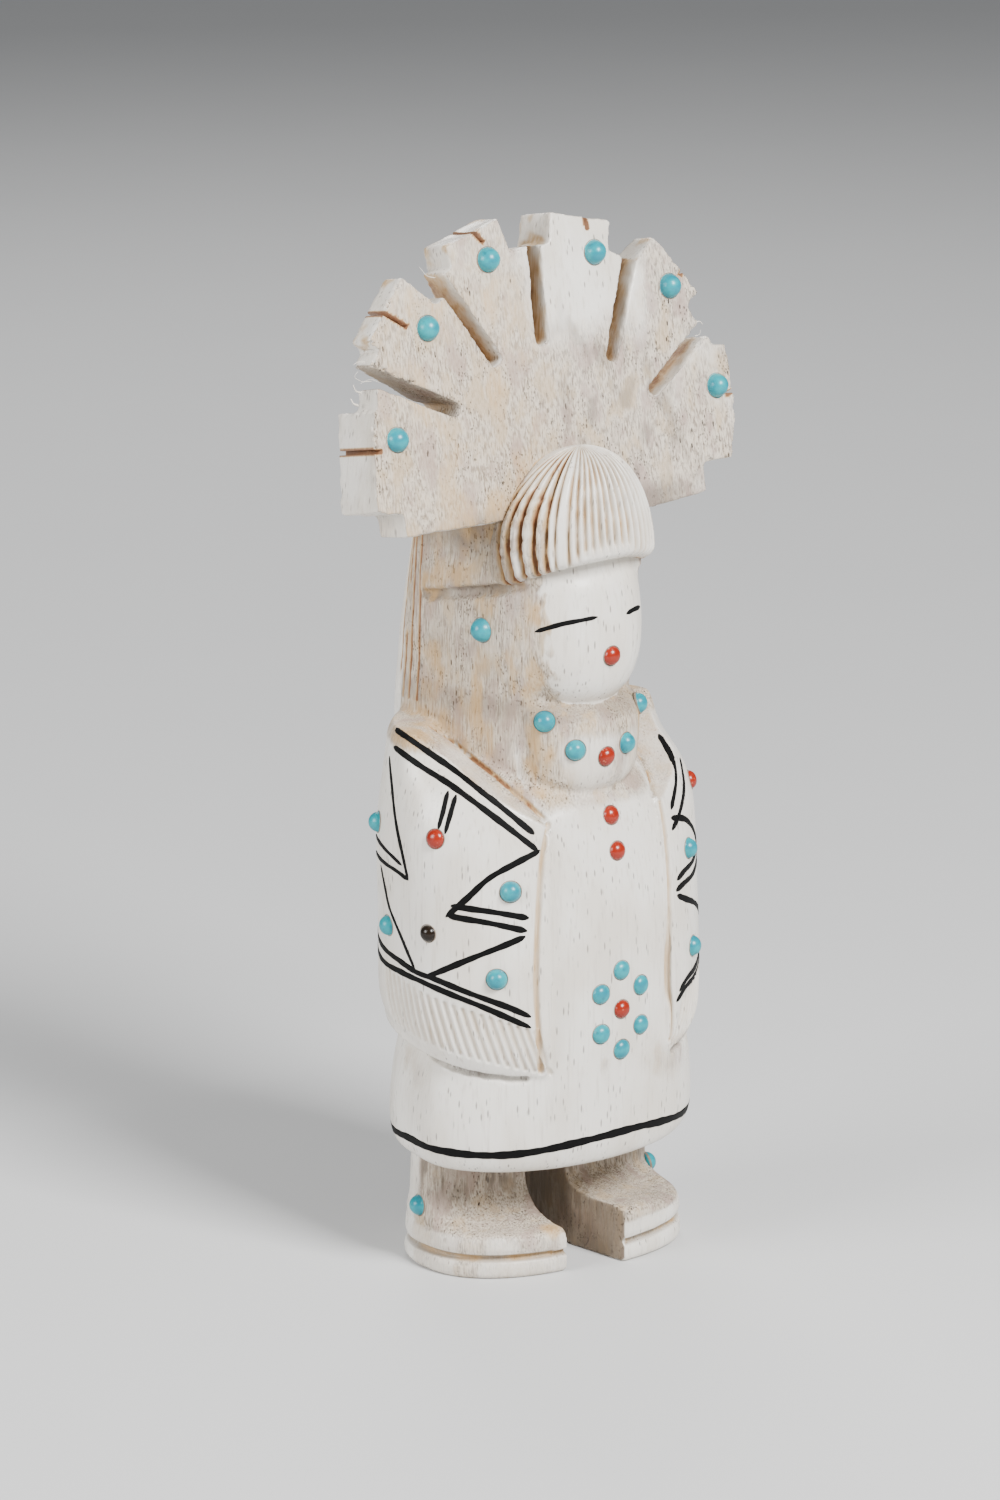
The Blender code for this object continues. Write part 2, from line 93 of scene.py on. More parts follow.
# The neckline slants: its height over the figure's middle, its rise towards the back and the sides.
NECKLINE_HEIGHT = 57.5
NECKLINE_BACK_RISE = 0.45
NECKLINE_SIDE_RISE = 0.4
HEAD = (
    (45.0, 10.2, 9.0, 15.9),
    (46.0, 10.5, 9.4, 16.4),
    (58.5, 10.4, 9.8, 16.4),
    (64.5, 10.4, 9.0, 16.3),
    (69.0, 10.3, 8.9, 15.9),
    (71.5, 10.2, 10.1, 15.6),
    (74.5, 10.2, 11.0, 15.2),
    (79.5, 10.1, 11.2, 14.2),
    (85.5, 10.0, 10.6, 12.7),
    (90.5, 9.9, 7.4, 11.3),
    (96.5, 9.4, 5.2, 9.7),
    (102.5, 8.0, 2.4, 8.1),
    (107.5, 6.0, 0.5, 6.7),
    (110.5, 3.4, -1.5, 5.5),
)
HEAD_POWER = 4.5
HEAD_FRONT_TAPER = 0.2
FACE_Y = -6.6
FACE = (
    (67.7, 2.4, 2.2, 2.2),
    (68.2, 4.0, 3.7, 3.7),
    (69.3, 5.8, 5.1, 5.1),
    (71.1, 7.2, 6.2, 6.2),
    (74.0, 8.2, 6.8, 6.8),
    (78.0, 8.4, 6.8, 6.8),
    (82.0, 8.0, 6.3, 6.3),
    (84.0, 7.6, 5.6, 5.6),
    (86.5, 7.4, 5.2, 5.2),
)
COLLAR_Y = -7.8
COLLAR = (
    (57.6, 3.6, 2.4, 2.4),
    (58.2, 5.6, 3.8, 3.8),
    (59.4, 6.9, 4.7, 4.7),
    (61.2, 7.5, 5.1, 5.1),
    (64.4, 7.8, 5.1, 5.1),
    (66.6, 8.0, 4.7, 4.7),
    (67.8, 7.8, 3.6, 4.0),
    (68.6, 7.2, 2.0, 3.0),
)

# The upright cut on each leg's inner side, the left leg first: across and back, from toes to heel.
LEG_INNER = (
    ((-4.1, -40.0), (-4.1, -8.5), (-3.5, -3.0), (-3.5, 40.0)),
    ((3.0, -40.0), (3.0, -12.5), (2.0, -4.0), (3.4, 6.0), (3.4, 40.0)),
)
FOOT_HALF_WIDTH = 16.9
LEG_HALF_WIDTH = 16.0
HEEL_Y = 12.0
TOE_Y = (-11.2, -12.9)
ANKLE_Y = -2.2
LEG_TOP = 16.0
TOE_HEIGHTS = (5.3, 6.7)
FOOT_POWER = (2.3, 3.0)
LEG_POWER = 2.1
INSTEP_RISE = (4.6, 2.3)
SOLE_ROUNDING = 0.4
ANKLE_WAIST = 0.45
OUTER_TOE_DROP = 1.0

FAN_LEAN = math.radians(11.3)
FAN_FRONT_Y = -5.5
FAN_CENTRE_HEIGHT = 94.5
FAN_THICKNESS = 7.2
FAN_PALM_RADIUS = 26.4
FAN_RIM_THICKNESS = 4.4
FAN_BACK_RADIUS = 19.5
FAN_BOTTOM = -4.3
FEATHER_ROOT = 12.0
# The outline that the fan's right end is trimmed to: across and up.
TRIMMED_END = ((25.3, 14.0), (25.3, 11.8), (25.9, 7.0), (25.65, 2.9), (24.5, -1.5), (24.3, -3.0))
# Each feather's end: across, up, turn from upright in degrees, half width, thickness.
FEATHERS = (
    (-27.0, 4.7, -83.5, 5.8, 7.0),
    (-22.9, 21.6, -50.0, 4.4, 3.6),
    (-9.6, 28.8, -17.0, 4.2, 4.6),
    (6.2, 28.9, 12.5, 4.4, 5.8),
    (19.5, 21.8, 52.0, 4.6, 3.8),
    (25.6, 5.4, 93.0, 6.4, 6.0),
)
# A lower step beside a feather's end: across, up, turn, half width, thickness.
SHOULDERS = (
    (-25.7, 11.3, -83.5, 1.7, 4.0),
    (-24.3, 17.2, -50.0, 2.5, 3.8),
    (-13.1, 25.0, -17.0, 1.4, 4.2),
)
# The saw kerf in each feather's end: across and up at its inner end, turn.
NOTCHES = (
    (-25.8, 5.8, -81.0),
    (-20.2, 19.2, -57.0),
    (-8.1, 27.4, -40.0),
    (7.0, 27.2, -6.0),
    (19.7, 20.4, 41.0),
    (24.5, 5.9, 72.0),
)
# Each sawn slot: across and up at its inner end, turn in degrees, width at the rim.
SLOTS = (
    (-14.4, 8.95, -64.5, 2.1),
    (-8.0, 13.6, -33.0, 1.6),
    (-1.3, 15.0, 1.5, 1.8),
    (8.3, 11.9, 20.7, 1.9),
    (13.6, 7.5, 53.6, 1.8),
)
SLOT_INNER_WIDTH = 1.6
SLOT_REACH = 22.0
NOTCH_WIDTH = 0.62
LEFT_FOOT_OF_FAN = -23.8
RIGHT_FOOT_OF_FAN = 20.1
FAN_FOOT_STEP = -1.5

CAP_PLACE = (0.0, -5.6, 86.6)
CAP_SIZE = (10.15, 9.5, 11.2)
CAP_TIP = math.radians(6.0)
CAP_ROLL = 1.5
# The brow fringe's rolled lower edge: how far down as a share of CAP_ROLL, share of the radius.
CAP_ROLL_PROFILE = ((1.0, 0.84), (0.95, 0.9), (0.75, 0.955), (0.45, 0.99))
CAP_LEFT_FULLNESS = 0.13
CAP_CROWN_AHEAD = 3.0
CAP_SIDE_DROP = 2.6
# Flutes of the brow fringe, in degrees from the front: fine ones in front, rough ones at the sides.
FINE_LEFT_FLUTES = (-46.0, -36.5, -30.3, -24.7, -19.2, -13.7, -8.2, -2.5)
FINE_RIGHT_FLUTES = (3.5, 9.6, 16.0, 22.5, 29.0, 36.0, 43.0, 50.0)
FINE_FLUTES = FINE_LEFT_FLUTES + FINE_RIGHT_FLUTES
ROUGH_FLUTES = (-89.6, -80.0, -70.6, -60.6, -52.4, 57.0, 65.0, 74.0, 83.0, 92.0)

# Engraved and inked lines, as places on the surface: degrees from the front, height.
SHAWL_LINES = (
    ((-37.4, 52.7), (-47.2, 51.4), (-56.2, 49.8), (-63.5, 47.4), (-70.7, 45.0)),
    ((-69.0, 46.4), (-55.6, 45.9), (-41.7, 45.0)),
    ((-70.3, 45.2), (-56.6, 44.6), (-42.4, 43.5)),
    ((-43.0, 42.9), (-60.5, 40.5), (-78.2, 37.4)),
    (
        (-122.0, 39.6),
        (-105.7, 38.7),
        (-92.9, 38.2),
        (-82.7, 37.7),
        (-72.2, 37.2),
        (-52.2, 35.0),
        (-40.8, 33.3),
    ),
    ((-122.0, 37.8), (-104.5, 37.0), (-89.0, 36.9), (-77.6, 36.6), (-59.3, 34.8), (-40.8, 32.0)),
    ((39.6, 53.1), (49.4, 52.3), (56.6, 50.7), (64.0, 48.2)),
    ((68.0, 48.2), (54.5, 46.8), (45.1, 46.4), (37.9, 45.8)),
    ((67.0, 46.6), (53.4, 45.3), (44.2, 45.0), (36.5, 44.6)),
    ((37.0, 44.0), (44.1, 43.0), (53.9, 41.6), (70.0, 38.6)),
    ((120.0, 40.0), (96.0, 38.4), (70.0, 36.4), (52.7, 34.2), (42.1, 33.5), (35.3, 32.5)),
    ((120.0, 38.6), (96.0, 37.0), (70.0, 35.2), (52.6, 33.2), (41.1, 32.6), (33.0, 31.4)),
)
FINE_SHAWL_LINES = (
    ((-74.5, 59.3), (-74.1, 57.2), (-74.6, 55.1)),
    ((-71.0, 59.0), (-71.3, 56.8), (-72.0, 54.7)),
    ((-106.4, 61.5), (-100.1, 58.6), (-95.3, 55.6), (-89.9, 52.0), (-86.3, 48.4)),
    ((-113.0, 51.6), (-104.2, 51.3), (-95.9, 50.7), (-89.6, 50.0)),
    ((-113.0, 49.6), (-104.5, 49.4), (-93.5, 49.1), (-86.3, 48.5)),
    ((-104.7, 48.7), (-101.3, 46.3), (-98.3, 44.1), (-90.7, 41.0), (-83.2, 38.0)),
    ((104.7, 48.7), (98.3, 44.1), (90.7, 41.0), (81.0, 37.6)),
)
# The pairs of lines over the shoulders: places across and up, as seen from the left front.
SHOULDER_LINES = (
    ((-16.4, 60.8), (-16.1, 60.5), (-12.8, 58.2), (-9.5, 55.9), (-5.0, 52.4), (-0.5, 48.7)),
    ((-16.7, 58.7), (-13.4, 56.4), (-9.9, 54.2), (-5.0, 50.6), (-0.1, 46.8)),
    ((14.2, 60.2), (15.8, 57.2), (16.1, 54.6), (15.5, 51.4)),
    ((16.7, 57.4), (17.1, 54.0), (16.5, 50.9), (15.6, 49.0)),
)
# The creases on the shoulders are looked for at this tilt from above, their heights given this far out.
SHOULDER_TILT = 38.0
SHOULDER_REACH = 11.2
# The line round the dress's hem: degrees from the front, height.
HEM_HEIGHTS = (
    (-90.0, 16.3),
    (-53.0, 16.3),
    (-19.0, 17.1),
    (10.0, 17.3),
    (28.0, 16.9),
    (55.0, 16.1),
    (90.0, 16.0),
    (150.0, 15.8),
    (-150.0, 15.5),
    (-125.0, 15.4),
)
LINE_WIDTH = 0.82
FINE_LINE_WIDTH = 0.62
HEM_WIDTH = 1.1
EYES = (
    ((-40.1, 77.6), (-32.7, 78.2), (-25.1, 78.7), (-16.3, 79.0), (-7.6, 79.2)),
    ((11.2, 78.9), (18.7, 79.05), (28.0, 78.9)),
)
EYE_WIDTH = 0.6
INK_LIFT = 0.045

# How fine each carved skin is before its edges are rubbed, and the rounds of rubbing.
BODY_GRAIN = 0.31
FAN_GRAIN = 0.28
LEGS_GRAIN = 0.26
BODY_RUBBING = 2
FAN_RUBBING = 9
LEGS_RUBBING = 9
MOST_TRIANGLES = 190_000


def rolled(name, rings):
    """A closed body through rings of equal length: a grid rolled up, its seam, poles and ends closed."""
    rows, count = rings.shape[:2]
    bpy.ops.object.select_all(action="DESELECT")
    bpy.ops.mesh.primitive_grid_add(x_subdivisions=count, y_subdivisions=rows - 1, size=1.0)
    piece = bpy.context.object
    piece.name = piece.data.name = name
    put_points(piece, np.concatenate([rings, rings[:, :1]], axis=1).reshape(-1, 3))
    bpy.ops.object.mode_set(mode="EDIT")
    bpy.ops.mesh.select_all(action="SELECT")
    bpy.ops.mesh.remove_doubles(threshold=1e-7)
    bpy.ops.mesh.fill_holes(sides=0)
    bpy.ops.mesh.select_all(action="SELECT")
    bpy.ops.mesh.normals_make_consistent(inside=False)
    bpy.ops.object.mode_set(mode="OBJECT")
    return piece


def points_of(piece):
    points = np.empty(len(piece.data.vertices) * 3)
    piece.data.vertices.foreach_get("co", points)
    return points.reshape(-1, 3) / MM


def put_points(piece, points):
    piece.data.vertices.foreach_set("co", (points * MM).ravel())
    piece.data.update()


def normals_of(piece):
    normals = np.empty(len(piece.data.vertices) * 3)
    piece.data.vertices.foreach_get("normal", normals)
    return normals.reshape(-1, 3)


def through(rows, steps):
    """Points on a smooth curve through the rows of a table, this many steps between two rows."""
    rows = np.array(rows, float)
    ends = np.vstack([2 * rows[0] - rows[1], rows, 2 * rows[-1] - rows[-2]])
    t = np.linspace(0.0, 1.0, steps, endpoint=False)[:, None]
    curve = []
    for a, b, c, d in zip(ends, ends[1:], ends[2:], ends[3:]):
        curve.append(b + t / 2 * ((c - a) + t * ((2 * a - 5 * b + 4 * c - d) + t * (3 * b - a - 3 * c + d))))
    return np.vstack(curve + [rows[-1:]])


def level_rings(sections, power, count, taper=0.0, y=0.0):
    """Level rounded ovals, one for each row of height, half width, front and back depth."""
    angle = np.linspace(0.0, 2 * np.pi, count, endpoint=False)
    across = np.sign(np.cos(angle)) * np.abs(np.cos(angle)) ** (2 / power)
    along = np.sign(np.sin(angle)) * np.abs(np.sin(angle)) ** (2 / power)
    height, half_width, front, back = (sections[:, i : i + 1] for i in range(4))
    depth = np.where(along > 0, back, front)
    level = height + 0 * along
    return np.stack([across * half_width * (1 + taper * along), along * depth + y, level], axis=-1)


def wedge(name, outline, low, high):
    """An outline across and up, run along Y from low to high."""
    return rolled(name, np.array([[(x, y, z) for x, z in outline] for y in (low, high)], float))


def use_modifier(piece, kind, **settings):
    """Adds a modifier, sets it and applies it."""
    bpy.ops.object.select_all(action="DESELECT")
    piece.select_set(True)
    bpy.context.view_layer.objects.active = piece
    modifier = piece.modifiers.new(kind.lower(), kind)
    for key, value in settings.items():
        setattr(modifier, key, value)
    bpy.ops.object.modifier_apply(modifier=modifier.name)


def saw(piece, *tools):
    """Cuts each tool's shape out of the piece."""
    for tool in tools:
        use_modifier(piece, "BOOLEAN", operation="DIFFERENCE", solver="EXACT", object=tool)
        bpy.data.objects.remove(tool, do_unlink=True)


def joined(name, pieces):
    bpy.ops.object.select_all(action="DESELECT")
    for piece in pieces:
        piece.select_set(True)
    bpy.context.view_layer.objects.active = pieces[0]
    bpy.ops.object.join()
    pieces[0].name = pieces[0].data.name = name
    return pieces[0]


def worn_together(piece, grain, rounds):
    """Makes one skin of the overlapping forms, its edges rubbed soft."""
    use_modifier(piece, "REMESH", mode="VOXEL", voxel_size=grain * MM)
    use_modifier(piece, "SMOOTH", factor=0.5, iterations=rounds)


def lighten(piece):
    """Merges the least needed faces of a piece until it has few enough triangles."""
    piece.data.calc_loop_triangles()
    count = len(piece.data.loop_triangles)
    if count > MOST_TRIANGLES:
        use_modifier(piece, "DECIMATE", ratio=MOST_TRIANGLES / count)


def skin_of(piece):
    """The piece's surface, for finding places on it, in millimetres."""
    mesh = piece.data
    return BVHTree.FromPolygons([v.co / MM for v in mesh.vertices], [p.vertices for p in mesh.polygons])


# The view from the left front: degrees round from the front and above the level.
LEFT_FRONT = (-38.0, 15.0)


def trace_seen(skin, places, steps=8):
    """Surface points under a line of places across and up, as seen from the left front."""
    turn, rise = (math.radians(angle) for angle in LEFT_FRONT)
    nearer = Vector((math.sin(turn) * math.cos(rise), -math.cos(turn) * math.cos(rise), math.sin(rise)))
    aside = Vector((math.cos(turn), math.sin(turn), 0.0))
    upward = nearer.cross(aside)
    found = []
    for across, up in through(places, steps):
        spot, normal, _, _ = skin.ray_cast(aside * across + upward * up + nearer * 90.0, -nearer)
        if spot is not None:
            found.append((spot, normal))
    return np.array([spot for spot, _ in found]), np.array([normal for _, normal in found])


def trace(skin, places, steps=8, tilt=0.0, reach=0.0):
    """Surface points under a line of places (degrees from the front, height), seen from outside.

    They are looked for level towards the axis, or tilted down on to the places this far out."""
    fall = math.radians(tilt)
    found = []
    for degrees, height in through(places, steps):
        turn = math.radians(degrees)
        outward = Vector((math.sin(turn), -math.cos(turn), 0.0))
        away = outward * math.cos(fall) + Vector((0.0, 0.0, math.sin(fall)))
        start = outward * reach + Vector((0.0, 0.0, height)) + away * 60.0
        spot, normal, _, _ = skin.ray_cast(start, -away)
        if spot is not None:
            found.append((spot, normal))
    return np.array([spot for spot, _ in found]), np.array([normal for _, normal in found])


def nearness(points, line, reach):
    """For each point, its distance from the line as a share of the reach, up to 1."""
    share = np.ones(len(points))
    low, high = line.min(axis=0) - reach, line.max(axis=0) + reach
    inside = np.flatnonzero(((points > low) & (points < high)).all(axis=1))
    near = points[inside]
    best = np.full(len(near), reach * reach)
    for start, end in zip(line, line[1:]):
        along = end - start
        t = np.clip((near - start) @ along / max(along @ along, 1e-9), 0.0, 1.0)
        gap = near - start - t[:, None] * along
        best = np.minimum(best, (gap * gap).sum(axis=1))
    share[inside] = np.sqrt(best) / reach
    return share


def refine(piece, lines, reach):
    """Divides the faces near the lines once more."""
    centres = np.empty(len(piece.data.polygons) * 3)
    piece.data.polygons.foreach_get("center", centres)
    centres = centres.reshape(-1, 3) / MM
    chosen = np.zeros(len(centres), bool)
    for line in lines:
        chosen |= nearness(centres, line, reach) < 1.0
    bpy.ops.object.select_all(action="DESELECT")
    piece.select_set(True)
    bpy.context.view_layer.objects.active = piece
    bpy.ops.object.mode_set(mode="EDIT")
    bpy.ops.mesh.select_all(action="DESELECT")
    bpy.ops.object.mode_set(mode="OBJECT")
    piece.data.polygons.foreach_set("select", chosen)
    bpy.ops.object.mode_set(mode="EDIT")
    bpy.ops.mesh.select_mode(type="FACE")
    bpy.ops.mesh.subdivide(number_cuts=1)
    bpy.ops.object.mode_set(mode="OBJECT")


def carve(piece, lines, width, depth):
    """Cuts rounded grooves along the lines. It returns how deep in a groove each point lies, from 0 to 1."""
    points, normals = points_of(piece), normals_of(piece)
    sunk = np.zeros(len(points))
    for line in lines:
        sunk = np.maximum(sunk, 1.0 - nearness(points, line, width / 2) ** 2)
    put_points(piece, points - normals * (depth * sunk)[:, None])
    return sunk


def cloud(points, size, seed=0.0, layers=2):
    """Soft noise from about -1 to 1 at each point, with lumps of this size."""
    places = points / np.array(size, float) + seed
    return np.array([noise.fractal(Vector(place), 1.0, 2.0, layers) for place in places])


def paint(piece, **coats):
    """Keeps each coat's value on every point, for the material to read."""
    for name, values in coats.items():
        layer = piece.data.attributes.new(name, "FLOAT", "POINT")
        layer.data.foreach_set("value", np.clip(values, 0.0, 1.0).astype(np.float32))


def ramp(values, start, end):
    """0 at the start, 1 at the end, soft between."""
    t = np.clip((values - start) / (end - start), 0.0, 1.0)
    return t * t * (3 - 2 * t)


def shade_smooth(piece):
    bpy.ops.object.select_all(action="DESELECT")
    piece.select_set(True)
    bpy.context.view_layer.objects.active = piece
    bpy.ops.object.shade_smooth()


def fan_matrix():
    """From the fan's own places (across, back from the front, up) to the figure, in metres."""
    lean = Matrix.Rotation(-FAN_LEAN, 4, "X")
    return Matrix.Translation((0.0, FAN_FRONT_Y * MM, FAN_CENTRE_HEIGHT * MM)) @ lean


def set_in_fan(piece, across, up, turn):
    spot = Matrix.Translation((across * MM, 0.0, up * MM))
    piece.data.transform(spot @ Matrix.Rotation(math.radians(turn), 4, "Y"))
    return piece


def fan_palm():
    angle = np.linspace(0.0, 2 * np.pi, 180, endpoint=False)
    depths = ((0.0, FAN_PALM_RADIUS), (FAN_RIM_THICKNESS, FAN_PALM_RADIUS), (FAN_THICKNESS, FAN_BACK_RADIUS))
    rings = [np.stack([r * np.cos(angle), y + 0 * angle, r * np.sin(angle)], axis=-1) for y, r in depths]
    return rolled("fan", np.array(rings))


def feather(across, up, turn, half_width, thickness):
    rings = []
    for height, back in ((-FEATHER_ROOT, FAN_THICKNESS), (0.0, thickness)):
        corners = ((-1, 0.0), (1, 0.0), (1, back), (-1, back))
        rings.append([(half_width * x, y, height) for x, y in corners])
    return set_in_fan(rolled("feather", np.array(rings)), across, up, turn)


def fan_saw_cuts():
    """The slots between the feathers, the trimmed right end, and the straight foot."""
    cuts = []
    for across, up, turn, rim_width in SLOTS:
        inner, rim = SLOT_INNER_WIDTH / 2, rim_width / 2
        outline = ((-inner, 0.0), (inner, 0.0), (rim, SLOT_REACH), (-rim, SLOT_REACH))
        cuts.append(set_in_fan(wedge("slot", outline, -20.0, 20.0), across, up, turn))
    far = 70.0
    trimmed = TRIMMED_END + ((far, TRIMMED_END[-1][1]), (far, TRIMMED_END[0][1]))
    cuts.append(wedge("trim", trimmed, -20.0, 20.0))
    for left, right, left_top, right_top in (
        (-far, 3.0, FAN_BOTTOM, FAN_BOTTOM),
        (3.0, 23.0, FAN_BOTTOM - 2.1, FAN_BOTTOM - 0.4),
        (-far, LEFT_FOOT_OF_FAN, FAN_FOOT_STEP, FAN_FOOT_STEP),
        (RIGHT_FOOT_OF_FAN, far, FAN_FOOT_STEP, FAN_FOOT_STEP),
    ):
        outline = ((left, -far), (right, -far), (right, right_top), (left, left_top))
        cuts.append(wedge("foot", outline, -20.0, 20.0))
    return cuts


def notch_cuts():
    """The saw kerf in each feather's end."""
    kerfs = []
    for across, up, turn in NOTCHES:
        half = NOTCH_WIDTH / 2
        outline = ((-half * 0.8, 0.0), (half * 0.8, 0.0), (half, 12.0), (-half, 12.0))
        kerfs.append(set_in_fan(wedge("kerf", outline, -20.0, 20.0), across, up, turn))
    return kerfs


def in_slots(points):
    """1 for the fan's points in a saw kerf, half for those in a slot."""
    near = np.zeros(len(points))
    for across, up, turn, width in SLOTS:
        near = np.maximum(near, 0.5 * slot_share(points, across, up, turn, width / 2 + 0.2, -0.4))
    for across, up, turn in NOTCHES:
        near = np.maximum(near, slot_share(points, across, up, turn, NOTCH_WIDTH / 2 + 0.04, -0.05))
    return near


def slot_share(points, across, up, turn, half, inner_end):
    angle = math.radians(turn)
    x, z = points[:, 0] - across, points[:, 2] - up
    aside = x * math.cos(angle) - z * math.sin(angle)
    out = x * math.sin(angle) + z * math.cos(angle)
    return (np.abs(aside) < half) * (out > inner_end) * 1.0


def build_fan():
    fan = fan_palm()
    for end in FEATHERS + SHOULDERS:
        shape = feather(*end)
        use_modifier(fan, "BOOLEAN", operation="UNION", solver="EXACT", object=shape)
        bpy.data.objects.remove(shape, do_unlink=True)
    saw(fan, *fan_saw_cuts())
    use_modifier(fan, "REMESH", mode="VOXEL", voxel_size=FAN_GRAIN * MM)
    crisp = points_of(fan)
    use_modifier(fan, "SMOOTH", factor=0.5, iterations=FAN_RUBBING)
    wear_fan(fan, crisp)
    saw(fan, *notch_cuts())
    paint_fan(fan)
    fan.data.transform(fan_matrix())
    return fan


def wear_fan(fan, crisp):
    """Chips the rubbed edges, most at the left end, and makes the broad faces a little uneven."""
    rubbed, normals = points_of(fan), normals_of(fan)
    at_edge = ramp(np.linalg.norm(crisp - rubbed, axis=1), 0.02, 0.12)
    ragged = ramp(rubbed[:, 0], -17.0, -24.0) * ramp(rubbed[:, 2], 2.0, 8.0)
    ragged += 0.6 * ramp(rubbed[:, 0], 18.0, 21.0)
    chips = np.maximum(cloud(rubbed, (0.8, 0.8, 0.8), 3.0) - 0.1, 0.0) * at_edge * (0.4 + 2.2 * ragged)
    flat_front = ramp(-normals[:, 1], 0.5, 0.9)
    sway = np.maximum(cloud(rubbed, (6.0, 6.0, 6.0), 9.0), 0.0) * 0.25 * (1 - flat_front)
    sunk = np.minimum(chips, 0.6) + sway + 0.1 * ramp(cloud(rubbed, (4.0, 4.0, 9.0), 17.0), 0.0, 0.7)
    put_points(fan, 0.75 * rubbed + 0.25 * crisp - normals * sunk[:, None])


def paint_fan(fan):
    """Whitest at the upper right and on the back, spongy over the middle, ochre where the saw went, with
    painted shade deep in the slots, in the kerfs and along the foot.
    """
    points, normals = points_of(fan), normals_of(fan)
    x, y, z = points.T
    patches = cloud(points, (5.0, 5.0, 8.0), 21.0, 3)
    front = ramp(-normals[:, 1], 0.3, 0.8)
    back = ramp(normals[:, 1], 0.2, 0.7)
    near_cap = ramp(np.hypot(x + 6.0, z + 2.0), 15.0, 8.0)
    polish = 0.32 + 0.4 * patches * ramp(np.hypot(x, z), 9.0, 20.0) - 0.25 * near_cap
    polish += 0.15 * ramp(z, 18.0, 27.0)
    polish += 0.6 * ramp(x, -5.0, 1.0) * ramp(x, 15.0, 9.0) * ramp(z, 12.0, 21.0)
    polish = np.where(front > 0.5, polish, 0.72 + 0.3 * patches)
    polish = np.maximum(polish, 0.92 * back)
    sawn = in_slots(points)
    kerf = ramp(sawn, 0.6, 0.9)
    slot = ramp(sawn, 0.2, 0.5) * (1 - front) * (1 - back) * (1 - kerf)
    first_slot = ramp(x, -13.0, -15.0) * ramp(z, 19.0, 17.0)
    deep = ramp(y, 0.3, 3.0)
    tan = slot * (0.12 + 0.42 * deep + 0.3 * cloud(points, (2.0, 2.0, 2.0), 5.0)) * (1 - 0.8 * first_slot)
    end_patch = 0.42 * ramp(cloud(points, (2.6, 2.6, 2.6), 14.0), 0.0, 0.6) * ramp(z, 12.0, 17.0)
    end_patch *= (1 - back) * (1 - front) * (1 - slot)
    warm = front * (0.1 + 0.22 * ramp(patches, -0.1, 0.5)) * ramp(x, 6.0, -8.0)
    stain = np.maximum(np.maximum(tan, end_patch), warm)
    stain = np.maximum(stain, 0.9 * kerf)
    # Painted shade in the slots: the first slot, between the first two feathers, loses polish and greys, the
    # others grey deeper in, the kerfs a little.
    polish -= 0.5 * slot * first_slot
    soil = 0.1 * slot * deep + 0.4 * slot * first_slot + 0.25 * kerf
    bruised = ramp(cloud(points, (2.4, 2.4, 5.0), 97.0, 3), 0.0, 0.5)
    bruised *= ramp(x, -4.0, 4.0) * ramp(np.hypot(x, z), 23.0, 15.0)
    soil = np.maximum(soil, front * 0.5 * bruised)
    # Painted shade along the foot of the fan's front, where it meets the brow fringe and head.
    soil = np.maximum(soil, 0.75 * ramp(z, -1.8, -4.3) * front * ramp(np.abs(x), 22.0, 12.0))
    paint(fan, polish=polish, stain=stain, soil=soil)


# Slivers left at the fan's sawn edges: the run of each (across, back from the front, up) and its thickness.
BURRS = (
    (((-25.6, 1.6, 16.0), (-26.6, 1.4, 16.1), (-27.4, 1.2, 15.9)), 0.07),
    (((-24.6, 2.0, 13.7), (-26.2, 1.7, 13.9), (-27.3, 1.4, 14.5), (-26.9, 1.2, 15.1)), 0.045),
    (((-24.4, 0.8, 13.5), (-25.8, 0.6, 14.0), (-27.2, 0.7, 13.7)), 0.04),
    (((-26.0, 2.4, 12.6), (-26.8, 2.2, 12.9), (-27.2, 2.0, 13.6)), 0.13),
    (((-26.2, 3.0, 11.2), (-26.9, 2.8, 11.5), (-27.2, 2.8, 12.1)), 0.15),
    (((-14.6, 1.2, 24.2), (-15.9, 1.0, 24.6), (-16.8, 1.0, 25.7)), 0.045),
    (((21.4, 0.6, 14.6), (22.2, 0.5, 14.8), (22.6, 0.4, 14.4)), 0.08),
    (((21.2, 0.4, 13.2), (21.8, 0.3, 13.3), (22.0, 0.2, 13.8)), 0.05),
)


def sliver(places, thickness):
    """A thin curved burr, thinner towards its tip."""
    run = through(places, 6)
    along = np.gradient(run, axis=0)
    aside = np.cross(along, (0.3, 1.0, 0.2))
    aside /= np.linalg.norm(aside, axis=1)[:, None]
    upward = np.cross(along, aside)
    upward /= np.linalg.norm(upward, axis=1)[:, None]
    size = thickness * np.linspace(1.0, 0.35, len(run))[:, None]
    angles = np.linspace(0.0, 2 * math.pi, 6, endpoint=False)
    ring = [aside * math.cos(t) + upward * math.sin(t) for t in angles]
    return rolled("sliver", np.stack([run + size * part for part in ring], axis=1))


def build_burrs():
    burrs = joined("saw_burrs", [sliver(*burr) for burr in BURRS])
    count = len(burrs.data.vertices)
    paint(burrs, polish=np.full(count, 0.9), stain=np.full(count, 0.05), soil=np.zeros(count))
    burrs.data.transform(fan_matrix())
    return burrs


def shawl_rings():
    """The shawl's outlines, the back half with widths of its own, hanging lower in front."""
    table = through(SHAWL, 5)
    rings = level_rings(table, BODY_POWER, 200)
    widening = (table[:, 4] / table[:, 1])[:, None] - 1
    rings[:, :, 0] *= 1 + widening * ramp(rings[:, :, 1], -5.0, 2.0)
    top, bottom = SHAWL[-1][0], SHAWL[0][0]
    share = (top - rings[:, :, 2]) / (top - bottom)
    rings[:, :, 2] += SHAWL_FRONT_DROP * share * rings[:, :, 1] / 15.0
    return rings


def shawl_hem():
    """The crease under the shawl, from one side of its front opening round the back to the other."""
    ring = np.roll(shawl_rings()[0], 50, axis=0) * (1.012, 1.012, 1.0)
    left, right = OPENING_LOW
    return ring[(ring[:, 1] > 0) | (ring[:, 0] < left - 0.2) | (ring[:, 0] > right + 0.2)]


